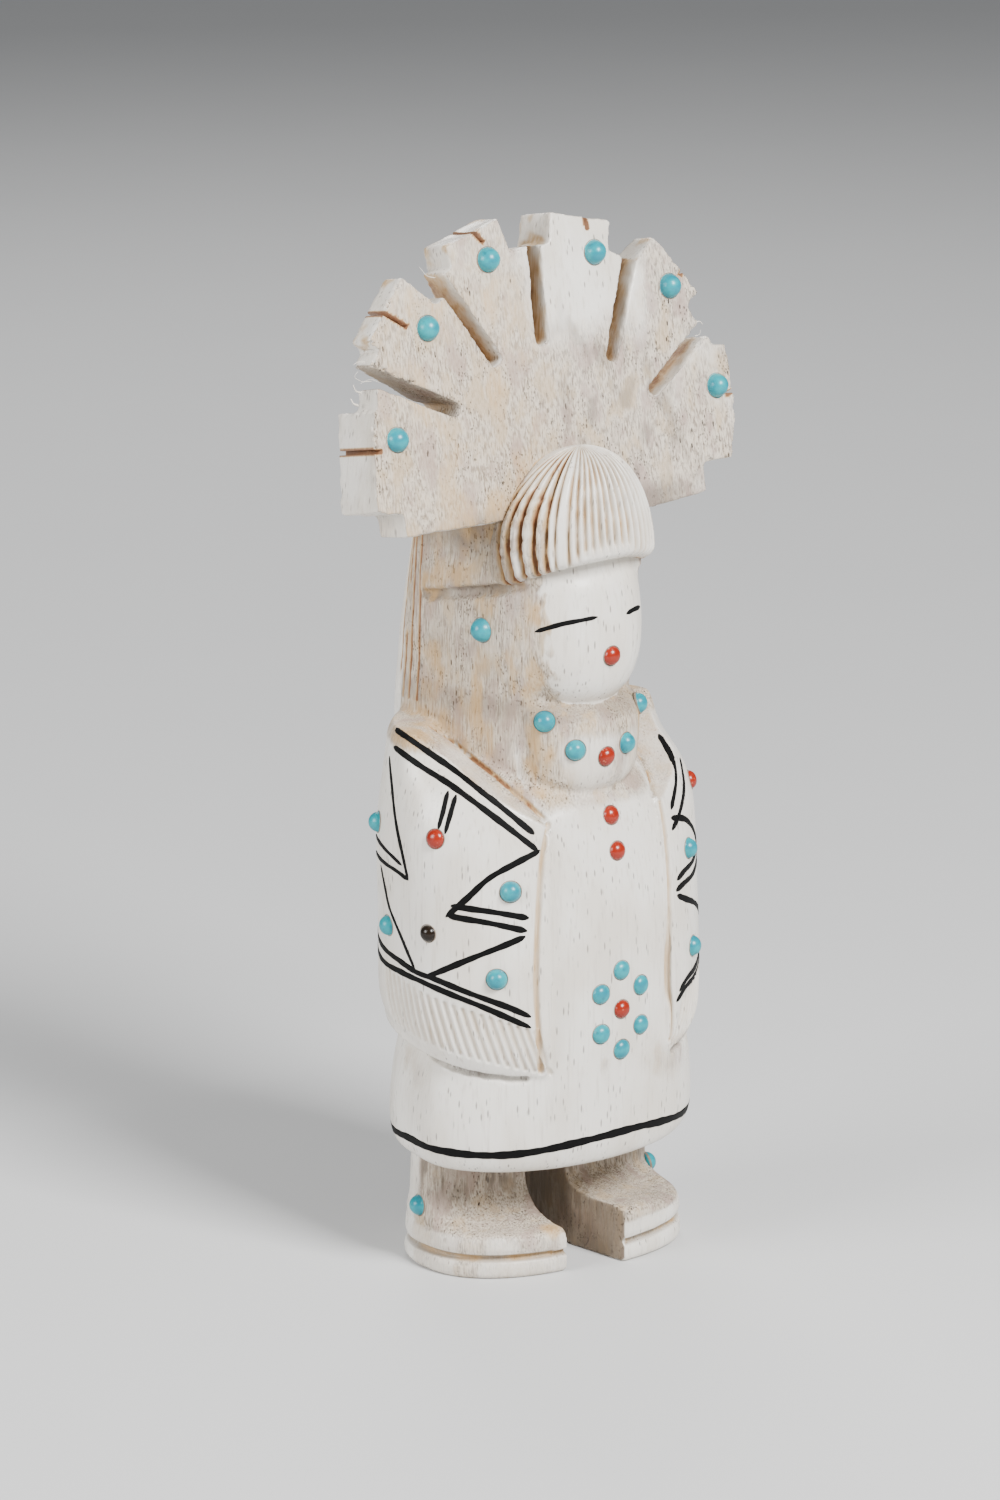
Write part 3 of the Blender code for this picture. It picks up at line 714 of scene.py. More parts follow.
def build_shawl():
    """The shawl, cut along its neckline and open in front."""
    shawl = rolled("shawl", shawl_rings())
    far = 45.0
    low_left, low_right = OPENING_LOW
    left, right = OPENING_CORNER
    above = OPENING_CORNER_HEIGHT + 3.0
    rings = []
    for y in (-far, far):
        middle = NECKLINE_HEIGHT + y * NECKLINE_BACK_RISE
        side = middle + far * NECKLINE_SIDE_RISE
        rim = [(-far, y, side), (0.0, y, middle), (far, y, side)]
        rings.append(rim + [(far, y, 3 * far), (-far, y, 3 * far)])
    neckline = rolled("neckline", np.array(rings))
    front = ((low_left, 0.0), (low_right, 0.0), (right, above), (left, above))
    saw(shawl, neckline, wedge("opening", front, -far, 0.0))
    return shawl


def build_body():
    """Dress, shawl, head with its long hair, face and collar, carved in one."""
    skirt = level_rings(through(DRESS, 5), BODY_POWER, 200)
    skirt[:, :, 0] *= 1 + (DRESS_BACK_SHARE - 1) * ramp(skirt[:, :, 1], -5.0, 2.0)
    dress = rolled("dress", skirt)
    head = rolled("head", level_rings(through(HEAD, 5), HEAD_POWER, 200, HEAD_FRONT_TAPER))
    face = rolled("face", level_rings(through(FACE, 5), 2.0, 120, y=FACE_Y))
    collar = rolled("collar", level_rings(through(COLLAR, 5), 2.0, 120, y=COLLAR_Y))
    body = joined("body", [dress, build_shawl(), head, face, collar])
    worn_together(body, BODY_GRAIN, BODY_RUBBING)
    return body


FRINGE_LINES = 21
# Width and depth of each kind of cut.
FRINGE_CUT = (0.75, 0.3)
EDGE_CUT = (0.9, 0.45)
NECK_CUT = (0.7, 0.4)
HEM_CUT = (1.1, 0.7)
SIDE_CUT = (2.0, 0.7)
SCRATCH_CUT = (0.45, 0.2)
SOLE_EASING = (2.0, 0.22)
SOLE_CUT = (1.0, 0.75)


def fringe_places(side):
    """Slanting cuts under the shawl's lowest lines, longer towards its front corner."""
    lines = []
    for number in range(FRINGE_LINES):
        share = number / (FRINGE_LINES - 1)
        degrees = 103.0 - 64.0 * share
        top = 36.2 - 4.9 * share ** 1.6
        bottom = 30.6 - 4.6 * share ** 1.3
        slant = 4.5 + 1.5 * share
        lines.append(((side * degrees, top), (side * (degrees - slant), bottom)))
    return lines


# The shawl's front edges, its creases over the shoulders and the grooves along the head's sides,
# as places on the surface: degrees from the front, height.
SHAWL_EDGES = (
    ((-33.5, 55.3), (-36.2, 51.9), (-37.5, 47.9), (-38.6, 41.2), (-38.6, 35.3), (-36.8, 26.4)),
    ((35.7, 55.3), (33.6, 50.0), (32.7, 46.0), (31.0, 40.2), (30.4, 34.8), (31.6, 26.8)),
)
NECK_GROOVES = (
    ((-108.0, 62.8), (-94.8, 62.6), (-68.1, 60.5), (-47.6, 57.0), (-35.0, 53.9)),
    ((108.0, 62.8), (94.8, 62.6), (68.1, 60.5), (47.6, 57.0), (36.0, 53.9)),
)
SIDE_GROOVES = (
    ((-122.0, 79.5), (-112.0, 80.0), (-94.1, 80.8), (-67.9, 81.8), (-49.0, 82.9)),
    ((122.0, 79.5), (112.0, 80.0), (94.1, 80.8), (67.9, 81.8), (49.0, 82.9)),
)
# Each scratch beside the hair's back: degrees at its top and at its foot.
HAIR_SCRATCHES = ((125.5, 127.0), (129.5, 131.5), (132.0, 135.0), (134.2, 138.0))


def engrave_body(body):
    """The fine cuts in the body, and its coats of polish, stain, grime and painted shade."""
    skin = skin_of(body)
    fringe = [trace(skin, places, 4)[0] for side in (-1, 1) for places in fringe_places(side)]
    edges = [trace(skin, places)[0] for places in SHAWL_EDGES]
    necks = [trace(skin, places, 8, SHOULDER_TILT, SHOULDER_REACH)[0] for places in NECK_GROOVES]
    hems = [np.array([skin.find_nearest(Vector(spot))[0] for spot in shawl_hem()])]
    sides = [trace(skin, places)[0] for places in SIDE_GROOVES]
    scratches = []
    for top, foot in HAIR_SCRATCHES:
        for side in (-1, 1):
            scratches.append(trace(skin, ((side * top, 88.0), (side * foot, 66.5)), 12)[0])
    refine(body, fringe + edges + scratches + necks + hems, 0.7)
    raise_over_grooves(body, sides)
    in_fringe = carve(body, fringe, *FRINGE_CUT)
    in_edges = carve(body, edges, *EDGE_CUT)
    in_necks = carve(body, necks, *NECK_CUT)
    in_hems = carve(body, hems, *HEM_CUT)
    in_sides = carve(body, sides, *SIDE_CUT)
    in_hair = carve(body, scratches, *SCRATCH_CUT)
    points, normals = points_of(body), normals_of(body)
    put_points(body, points + normals * (cloud(points, (9.0, 9.0, 12.0), 2.0) * 0.05)[:, None])
    paint_body(body, in_fringe, in_edges, in_necks, in_hems, in_sides, in_hair)


def raise_over_grooves(body, lines):
    """Lifts the sides of the head just above the grooves, so that the brow's edge runs on to the hair."""
    points, normals = points_of(body), normals_of(body)
    at_side = ramp(np.abs(normals[:, 0]), 0.6, 0.9)
    above = points[:, 2] - np.interp(points[:, 1], *low_to_high(lines[0][:, 1], lines[0][:, 2]))
    lift = 0.5 * ramp(above, -0.3, 0.5) * ramp(above, 5.5, 1.0) * at_side * ramp(points[:, 1], 9.0, 6.0)
    put_points(body, points + normals * lift[:, None])


def low_to_high(keys, values):
    order = np.argsort(keys)
    return keys[order], values[order]


# The polished oval of the face: height, half width.
POLISHED_FACE = ((67.8, 1.5), (68.6, 3.6), (69.6, 4.8), (71.1, 5.6), (74.0, 6.5), (78.0, 7.0), (84.0, 7.0))
# Where the head's spongy sides end and the hair's white back begins: height, distance back.
HAIR_EDGE = ((66.0, 11.7), (86.0, 10.2), (96.0, 7.6), (103.0, 5.6), (110.0, 2.6))


def face_share(points, normals, ragged):
    """1 on the polished oval of the face, 0 beside it and under the chin."""
    x, y, z = points.T
    half_width = np.interp(z, *np.transpose(POLISHED_FACE)) + 0.7 * ragged
    under_chin = ramp(z, 70.0, 69.0) * ramp(normals[:, 2], -0.1, 0.3)
    within = ramp(np.abs(x), half_width + 0.7, half_width - 0.4)
    return within * ramp(y, -8.0, -9.0) * ramp(z, 67.6, 68.3) * (1 - under_chin)


def paint_body(body, in_fringe, in_edges, in_necks, in_hems, in_sides, in_hair):
    """White and polished on dress, face and hair, spongy on the head's sides and the collar, with painted
    shade in the grooves, under the fan's edge, under the chin and under the shawl's edge.
    """
    points, normals = points_of(body), normals_of(body)
    x, y, z = points.T
    patches = cloud(points, (5.0, 5.0, 9.0), 31.0, 3)
    neckline = NECKLINE_HEIGHT + NECKLINE_BACK_RISE * y + NECKLINE_SIDE_RISE * np.abs(x)
    over_shawl = ramp(z - neckline, -0.5, 0.3)
    chest = ramp(np.abs(x), 9.2, 7.6) * ramp(z, 55.2, 58.2)
    hair_edge = np.interp(z, *np.transpose(HAIR_EDGE))
    not_back = ramp(y, hair_edge + 0.25, hair_edge - 0.15)
    spongy = np.maximum(over_shawl * (np.abs(x) > 8.5), np.maximum(chest, ramp(z, 62.0, 64.0))) * not_back
    spongy *= 1 - face_share(points, normals, cloud(points, (0.8, 0.8, 1.6), 71.0))
    collar_front = ramp(y, -10.6, -12.2) * ramp(z, 66.0, 64.0) * ramp(z, 56.5, 58.5)
    spongy *= 1 - 0.6 * collar_front
    spongy *= 0.85 + 0.35 * patches
    polish = 1 - spongy - 0.15 * ramp(patches, 0.15, 0.6)
    polish -= 0.4 * ramp(z, 28.0, 26.0) * ramp(z, 20.5, 24.0) * ramp(patches, -0.3, 0.4)
    ochre = ramp(cloud(points, (3.2, 3.2, 6.0), 44.0, 4), 0.0, 0.5)
    broken = ramp(cloud(points, (1.2, 1.2, 3.0), 83.0), -0.35, 0.2)
    long_breaks = ramp(cloud(points, (1.5, 1.5, 9.0), 87.0), -0.5, -0.1)
    stain = 0.85 * in_necks * broken * ramp(z, 54.5, 58.0) + 1.2 * in_hair * long_breaks
    stain += 0.4 * in_edges + 0.2 * in_fringe + 0.34 * spongy * ochre + 0.12 * spongy
    blotches = ramp(cloud(points, (2.2, 2.2, 6.0), 93.0, 3), 0.0, 0.5)
    # Painted shade in the grooves along the head's sides and round the neck, with grime in the neck grooves;
    # then blotches of grime.
    soil = 1.3 * in_sides * (0.7 + 0.6 * patches) + 0.5 * in_necks * (0.5 + broken)
    soil += 0.22 * spongy * blotches
    # Painted shadow on the head's spongy sides under the fan's lower edge.
    soil += ramp(z, 83.5, 88.0) * spongy * ramp(y, -4.0, 1.0) * ramp(y, 11.0, 8.5)
    # Painted shade under the chin.
    soil = np.maximum(soil, 0.6 * ramp(z, 69.8, 68.4) * ramp(z, 66.0, 67.2) * spongy)
    # Painted shade in the fringe cuts and in the crease under the shawl's lower edge.
    soil = np.maximum(soil, 0.22 * in_fringe)
    soil = np.maximum(soil, in_hems * (0.8 + 0.7 * patches))
    paint(body, polish=polish, stain=stain, soil=soil)


def build_leg(side):
    """A foot whose instep rises all round to the narrower leg, cut upright on its inner side."""
    toe_y, toe_height, instep = TOE_Y[side], TOE_HEIGHTS[side], INSTEP_RISE[side]
    sweep = ANKLE_Y - toe_y
    rows = []
    for height, back_share in (
        (0.0, 0.05),
        (0.35, 0.012),
        (0.9, 0.0),
        (toe_height - 1.5, 0.0),
        (toe_height - 0.8, 0.012),
        (toe_height - 0.35, 0.04),
        (toe_height - 0.05, 0.1),
        (toe_height + 0.08, 0.24),
        (toe_height + instep * 0.05, 0.44),
        (toe_height + instep * 0.12, 0.62),
        (toe_height + instep * 0.28, 0.79),
        (toe_height + instep * 0.5, 0.9),
        (toe_height + instep * 0.8, 0.97),
        (LEG_TOP, 1.0),
    ):
        half_width = FOOT_HALF_WIDTH + height / LEG_TOP * (LEG_HALF_WIDTH - FOOT_HALF_WIDTH)
        rounding = SOLE_ROUNDING if height == 0.0 else 0.0
        if height > 1.0:
            half_width -= ANKLE_WAIST * math.sin(math.pi * min(1.0, back_share * 3.0))
        rows.append((height, half_width - rounding, -toe_y - sweep * back_share, HEEL_Y - rounding))
    rows = np.array(rows)
    instep_heights = (toe_height, toe_height + instep * 0.5)
    squareness = np.interp(rows[:, :1], instep_heights, (FOOT_POWER[side], LEG_POWER))
    leg = rolled("leg", level_rings(rows, squareness, 200))
    away = 40.0 if side == 0 else -40.0
    plan = LEG_INNER[side] + ((away, 40.0), (away, -40.0))
    saw(leg, rolled("wall", np.array([[(x, y, z) for x, y in plan] for z in (-30.0, 30.0)])))
    return leg


# The grooves round the soles: degrees from the front, height. The left one ends at the toe's inner corner.
SOLE_GROOVE = ((-124.0, 2.2), (-100.0, 2.4), (-60.0, 2.5), (-30.0, 2.45))
# The run out through that corner: across, back, height.
SOLE_CORNER = ((-6.4, -10.9, 2.45), (-4.1, -11.0, 2.45))
RIGHT_SOLE_GROOVE = ((14.6, 2.5), (28.0, 2.6), (48.0, 2.8), (70.0, 3.0))


def notch_corner(legs):
    """Runs the left sole's groove out through the toe's inner corner. Returns each point's share."""
    points = points_of(legs)
    x, y, z = points.T
    (start, front, height), _ = SOLE_CORNER
    share = ramp(np.abs(z - height), 0.5, 0.1) * ramp(x, start - 0.2, start + 0.8) * (x < 0.0) * (y < -8.0)
    points[:, 1] = np.where(share > 0.02, np.maximum(y, front + SOLE_CUT[1] * share), y)
    put_points(legs, points)
    return share * ramp(y, -9.4, -10.0)


def lower_outer_toe(legs):
    """Slopes the right foot's top down towards its outer side."""
    points = points_of(legs)
    x, _, z = points.T
    outer_toe = ramp(x, 5.0, 15.0) * ramp(z, 3.4, 6.4) * ramp(z, 12.5, 8.0)
    points[:, 2] -= OUTER_TOE_DROP * outer_toe
    put_points(legs, points)


def build_legs():
    """Both feet and legs in one, with the grooves round their soles."""
    legs = joined("legs", [build_leg(0), build_leg(1)])
    worn_together(legs, LEGS_GRAIN, LEGS_RUBBING)
    lower_outer_toe(legs)
    skin = skin_of(legs)
    lines = [trace(skin, places, 12)[0] for places in (SOLE_GROOVE, RIGHT_SOLE_GROOVE)]
    refine(legs, lines + [np.array(SOLE_CORNER)], 0.9)
    carve(legs, lines, *SOLE_EASING)
    in_sole = np.maximum(carve(legs, lines, *SOLE_CUT), notch_corner(legs))
    paint_legs(legs, in_sole)
    return legs


def paint_legs(legs, in_sole):
    """Spongy in front and between the legs, polished on their outer sides and round the feet, with painted
    shade between the legs, under the dress's hem and in the sole grooves.
    """
    points, normals = points_of(legs), normals_of(legs)
    x, y, z = points.T
    patches = cloud(points, (4.0, 4.0, 8.0), 51.0, 3)
    inner = ramp(np.abs(normals[:, 0]), 0.7, 0.9) * ramp(np.abs(x), 6.5, 5.2)
    foot_band = ramp(z, 5.8, 4.6) * (1 - inner)
    outer_side = ramp(y + 1.5 * patches, -0.5, 3.5)
    left_foot = ramp(x, 0.0, -1.0)
    polish = np.maximum(outer_side, foot_band * (1 - 0.4 * left_foot)) - 0.2 * ramp(patches, 0.1, 0.5)
    polish = np.maximum(polish, 0.12 + 0.3 * patches) * (1 - inner)
    stain = 0.45 * in_sole * (0.7 + patches) + 0.06 * inner + 0.08 * (1 - polish)
    stain += 0.42 * ramp(np.hypot(x + 5.6, y + 9.6), 1.9, 0.5) * ramp(z, 3.8, 4.8)
    blotches = ramp(cloud(points, (0.8, 0.8, 3.5), 57.0, 3), -0.05, 0.4)
    # Painted shade on the inner walls between the legs, with blotches of grime.
    soil = inner * (0.75 + 0.3 * patches + 0.55 * blotches)
    # Painted shade under the dress's hem, darker higher up the legs, blotched with grime.
    soil += (0.22 + 0.55 * ramp(z, 7.0, 11.0)) * (1 - outer_side) * (0.45 + blotches)
    # Painted shade in the grooves round the soles, less round the feet.
    soil = soil * (1 - foot_band * 0.8) + 1.1 * in_sole
    paint(legs, polish=polish, stain=stain, soil=soil)


def flute_depths(degrees):
    """Depth of the brow fringe's flutes round its side, and how much of it is rough."""
    fine = np.zeros_like(degrees)
    for centre in FINE_FLUTES:
        fine = np.maximum(fine, np.exp(-(((degrees - centre) / 1.5) ** 2)))
    rough = np.zeros_like(degrees)
    for centre in ROUGH_FLUTES:
        rough = np.maximum(rough, np.exp(-(((degrees - centre) / 1.9) ** 2)))
    return fine, rough


def build_cap():
    """The fringe of hair over the brow: a half dome with flutes down from its crown to a smooth roll."""
    half_width, depth, height = CAP_SIZE
    degrees = np.linspace(-180.0, 180.0, 720, endpoint=False)
    turn = np.radians(degrees)
    fine, rough = flute_depths(degrees)
    levels = [(-drop * CAP_ROLL, share) for drop, share in CAP_ROLL_PROFILE]
    for step in range(58):
        rise = math.radians(90.0 * step / 57)
        levels.append((height * math.sin(rise), max(math.cos(rise), 1e-6)))
    rings, valleys = [], []
    for level, share in levels:
        run_out = -0.8 - (CAP_ROLL + 0.4) * ramp(np.abs(degrees + 8.0), 14.0, 38.0)
        fade = ramp(level - run_out, 0.0, 1.4) * ramp(share, 0.02, 0.2)
        wobble = np.array([noise.noise(Vector((a * 0.12, level * 0.55, 7.0))) for a in degrees])
        crumbs = np.array([noise.noise(Vector((a * 0.35, level * 1.6, 3.0))) for a in degrees])
        fine_cut = 0.72 * fine * fade * (1 + 0.5 * wobble)
        rough_cut = 0.9 * rough * fade * (1 + 0.7 * wobble)
        rough_cut += 0.5 * np.maximum(crumbs, 0.0) * ramp(degrees, -48.0, -56.0) * ramp(level, 11.0, 6.0)
        radius = share - (fine_cut + rough_cut) * min(1.0, 0.35 + share) / half_width
        rise = max(level, 0.0) / height
        left_side = ramp(-degrees, 35.0, 70.0) * ramp(-degrees, 110.0, 85.0)
        radius *= 1 + CAP_LEFT_FULLNESS * math.sin(math.pi * rise) * left_side
        across = half_width * radius * np.sin(turn)
        along = -depth * radius * np.cos(turn)
        behind_brow = np.minimum(1.0, 1.0 - np.cos(turn))
        up = level - CAP_SIDE_DROP * behind_brow * (1 - rise)
        rings.append(np.stack([across, along - CAP_CROWN_AHEAD * rise ** 2, up], axis=-1))
        valleys.append(np.stack([fine * fade, rough * fade], axis=-1))
    cap = rolled("brow_fringe", np.array(rings))
    cap.data.transform(cap_matrix())
    paint_cap(cap, np.array(rings), np.array(valleys))
    return cap


def cap_matrix():
    return Matrix.Translation(Vector(CAP_PLACE) * MM) @ Matrix.Rotation(-CAP_TIP, 4, "X")


def paint_cap(cap, rings, valleys):
    """Coats by each point's own place in the dome, found again after the seam was merged."""
    local = points_of(cap)
    back = np.array(cap_matrix().inverted())
    local = local @ back[:3, :3].T + back[:3, 3] / MM
    flat = rings.reshape(-1, 3)
    order = {tuple(np.round(p, 3)): i for i, p in enumerate(flat)}
    values = valleys.reshape(-1, 2)
    index = np.array([order.get(tuple(np.round(p, 3)), 0) for p in local])
    fine, rough = values[index].T
    patches = cloud(local, (2.0, 2.0, 3.0), 61.0, 3)
    rough_side = ramp(local[:, 0], -6.2, -8.2)
    side = ramp(np.abs(local[:, 0]), 6.5, 8.5)
    stain = 0.42 * fine * (0.8 + 0.6 * patches) + 1.1 * rough * (0.9 + 0.9 * patches)
    stain += 0.25 * rough_side * ramp(local[:, 2], 3.0, 8.0)
    behind = ramp(np.abs(np.degrees(np.arctan2(local[:, 0], -local[:, 1]))), 74.0, 84.0)
    stain += 0.12 * behind
    polish = (1 - 0.5 * rough - 0.65 * side * (0.8 + patches)) * (1 - behind)
    # Painted shade in the flutes' valleys, and painted shadow with grime on the spongy skin behind the
    # fringe's sides.
    paint(cap, polish=polish, stain=stain, soil=0.35 * rough + 0.2 * fine + 0.4 * behind)


def ink_line(skin, places, width, closed=False, steps=12, find=trace):
    """A thin filled cut along the places, rounded at its ends."""
    line, normals = find(skin, places, steps)
    along = np.gradient(line, axis=0)
    side = np.cross(normals, along)
    side /= np.linalg.norm(side, axis=1)[:, None]
    walked = np.concatenate([[0.0], np.cumsum(np.linalg.norm(np.diff(line, axis=0), axis=1))])
    from_end = np.minimum(walked, walked[-1] - walked)
    taper = np.ones_like(walked) if closed else np.sqrt(np.clip(from_end / 0.7, 0.06, 1.0))
    taper *= 1 + 0.1 * np.sin(walked * 0.9 + len(line)) + 0.05 * np.sin(walked * 3.1)
    top = [(across, INK_LIFT) for across in np.linspace(-0.85, 0.85, 7)]
    section = [(-1.0, -0.12), *top, (1.0, -0.12), (0.0, -0.25)]
    rings = []
    for point, aside, share in zip(line, side, taper):
        ring = []
        for across, lift in section:
            spot = point + aside * across * share * width / 2
            near, facing, _, _ = skin.find_nearest(Vector(spot))
            ring.append(np.array(near) + np.array(facing) * lift)
        rings.append(ring)
    return rolled("line", np.array(rings))


def build_ink(skin):
    lines = [ink_line(skin, places, LINE_WIDTH) for places in SHAWL_LINES]
    lines += [ink_line(skin, places, FINE_LINE_WIDTH) for places in FINE_SHAWL_LINES]
    for places in SHOULDER_LINES:
        lines.append(ink_line(skin, places, LINE_WIDTH, steps=20, find=trace_seen))
    lines += [ink_line(skin, places, EYE_WIDTH) for places in EYES]
    # The line runs on over its own start for a little way at the back.
    hem = sorted(HEM_HEIGHTS) + [(HEM_HEIGHTS[-1][0] + 360.0, HEM_HEIGHTS[-1][1])]
    lines.append(ink_line(skin, hem, HEM_WIDTH, closed=True, steps=60))
    return joined("engraved_lines", lines)


# Each kind of stone: its radius, the height of its dome.
STONE_SIZES = {
    "turquoise": (1.24, 1.15),
    "feather": (1.46, 1.5),
    "petal": (1.18, 0.8),
    "coral": (1.14, 0.84),
    "jet": (1.02, 0.9),
}
# The dome from its top down: share of the radius, share of the height.
DOME_PROFILE = (
    (0.0, 1.0),
    (0.22, 0.975),
    (0.43, 0.9),
    (0.62, 0.77),
    (0.78, 0.58),
    (0.9, 0.36),
    (0.97, 0.14),
    (1.0, -0.15),
)
# The dark ring of filler, also a painted contact shadow: out from the stone's radius, height.
FILLER_AND_SHADE_PROFILE = ((0.0, -0.02), (0.04, 0.03), (0.11, 0.015), (0.14, -0.3))
STONE_ROOT = (0.0, -0.5)
# Faces further out than this share of the stone's radius are the dark ring of filler and painted shade.
FILLER_AND_SHADE_START = 0.9999


def stone_model(kind):
    """One stone standing on height 0, with the dark ring of filler and painted contact shadow round it."""
    radius, dome = STONE_SIZES[kind]
    profile = [(radius * share, dome * rise) for share, rise in DOME_PROFILE]
    profile += [(radius + out, height) for out, height in FILLER_AND_SHADE_PROFILE] + [STONE_ROOT]
    angle = np.linspace(0.0, 2 * np.pi, 32, endpoint=False)
    rings = []
    for out, height in reversed(profile):
        rings.append(np.stack([out * np.cos(angle), out * np.sin(angle), height + 0 * angle], axis=-1))
    return rolled(f"{kind}_stone", np.array(rings))


def set_stone(model, node, skin, kind, finishes):
    """A copy of the stone on the carving, where its CAD node stands."""
    low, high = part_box(node)
    centre = (Vector(low) + Vector(high)) / (2 * MM)
    spot, normal, _, _ = skin.find_nearest(centre)
    stone = model.copy()
    stone.data = model.data.copy()
    stone.name = stone.data.name = f"{node}_stone"
    bpy.context.scene.collection.objects.link(stone)
    chance = random.Random(node)
    upright = normal.to_track_quat("Z", "Y").to_matrix().to_4x4()
    sides = [chance.uniform(0.95, 1.0), chance.uniform(0.95, 1.0), chance.uniform(0.85, 1.0)]
    size = Matrix.Diagonal((*sides, 1.0))
    turn = Matrix.Rotation(chance.uniform(0.0, 6.28), 4, "Z")
    stone.data.transform(Matrix.Translation(spot * MM) @ upright @ turn @ size)
    slot = kind if kind in finishes else "turquoise"
    stone.data.materials.append(finishes[slot])
    stone.data.materials.append(finishes["filler_and_shade"])
    radius = STONE_SIZES[kind][0]
    for face in stone.data.polygons:
        away = face.center / MM - spot
        face.material_index = int((away - away.dot(normal) * normal).length > radius * FILLER_AND_SHADE_START)
    shade_smooth(stone)
    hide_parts(node)
    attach(stone, "root")


def set_stones(body_skin, fan_skin, legs_skin, finishes):
    """Sets every stone in its seat."""
    models = {kind: stone_model(kind) for kind in STONE_SIZES}
    for node in sorted(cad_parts):
        kind = node.split("_")[0]
        if kind not in STONE_SIZES:
            continue
        if "petal" in node:
            kind = "petal"
        if "_fan_" in node or "_head_" in node:
            kind = "feather"
        skin = fan_skin if "_fan_" in node else legs_skin if "_leg_" in node else body_skin
        set_stone(models[kind], node, skin, kind, finishes)
    for model in models.values():
        bpy.data.objects.remove(model, do_unlink=True)


class Flow:
    """A value in a material's nodes that takes part in sums as a number does."""

    def __init__(self, finish, socket):
        self.finish = finish
        self.socket = socket

    def sum(self, operation, first, second=0.0, clamp=False):
        inputs = {0: first, 1: second}
        return self.finish.node("ShaderNodeMath", 0, inputs, operation=operation, use_clamp=clamp)

    def __add__(self, other):
        return self.sum("ADD", self, other)

    def __sub__(self, other):
        return self.sum("SUBTRACT", self, other)

    def __mul__(self, other):
        return self.sum("MULTIPLY", self, other)

    def __rsub__(self, other):
        return self.sum("SUBTRACT", other, self)

    __radd__ = __add__
    __rmul__ = __mul__

    def clamped(self):
        return self.sum("ADD", self, 0.0, clamp=True)

    def ramp(self, start, end):
        """0 where the value is start, 1 where it is end."""
        inputs = {"Value": self, "From Min": start, "From Max": end, "To Min": 0.0, "To Max": 1.0}
        return self.finish.node("ShaderNodeMapRange", 0, inputs, interpolation_type="SMOOTHSTEP")


class Finish:
    """A material under construction, with its Principled shader ready."""

    def __init__(self, name):
        self.material = bpy.data.materials.new(name)
        self.material.use_nodes = True
        self.tree = self.material.node_tree
        self.shader = next(node for node in self.tree.nodes if node.type == "BSDF_PRINCIPLED")

    def node(self, kind, output, inputs, **settings):
        """A node of this kind, set and wired. It returns the named output."""
        made = self.tree.nodes.new(kind)
        for key, value in settings.items():
            setattr(made, key, value)
        for key, value in inputs.items():
            self.wire(made.inputs[key], value)
        return Flow(self, made.outputs[output])

    def wire(self, socket, value):
        if isinstance(value, Flow):
            self.tree.links.new(value.socket, socket)
        else:
            socket.default_value = value

    def shade(self, **inputs):
        for key, value in inputs.items():
            self.wire(self.shader.inputs[key.replace("_", " ")], value)
        return self.material

    def place(self, size):
        """The place on the object in lumps of this size in millimetres."""
        spot = self.node("ShaderNodeTexCoord", "Object", {})
        scale = tuple(1 / (side * MM) for side in size)
        return self.node("ShaderNodeVectorMath", "Vector", {0: spot, 1: scale}, operation="MULTIPLY")

    def lumps(self, size, detail=3.0):
        inputs = {"Vector": self.place(size), "Scale": 1.0, "Detail": detail}
        return self.node("ShaderNodeTexNoise", "Fac", inputs)

    def cells(self, size):
        return self.node("ShaderNodeTexVoronoi", "Distance", {"Vector": self.place(size), "Scale": 1.0})

    def coat(self, name):
        return self.node("ShaderNodeAttribute", "Fac", {}, attribute_name=name)

    def blend(self, share, first, second):
        return self.node("ShaderNodeMix", 2, {0: share, 6: first, 7: second}, data_type="RGBA")

    def bump(self, height, depth):
        """The surface raised by the height times this depth in millimetres."""
        inputs = {"Height": height, "Distance": depth * MM, "Strength": 1.0}
        return self.node("ShaderNodeBump", "Normal", inputs)


def colour(red, green, blue):
    return (red, green, blue, 1.0)


IVORY_LIGHT = colour(0.80, 0.765, 0.70)
IVORY_WARM = colour(0.70, 0.645, 0.56)
IVORY_STREAK = colour(0.52, 0.46, 0.39)
FLECK_GREY = colour(0.14, 0.115, 0.10)
CORE_DARK = colour(0.20, 0.15, 0.11)
CORE_LIGHT = colour(0.58, 0.50, 0.40)
CORE_PINK = colour(0.34, 0.24, 0.20)
CORE_YELLOW = colour(0.46, 0.33, 0.19)
PIT_BROWN = colour(0.035, 0.022, 0.014)
# Grey-brown for painted shade in grooves, hollows and under overhangs, and for grime.
SHADE_AND_GRIME_GREY = colour(0.095, 0.072, 0.055)
STAIN_TAN = colour(0.50, 0.32, 0.14)
STAIN_BROWN = colour(0.20, 0.075, 0.02)


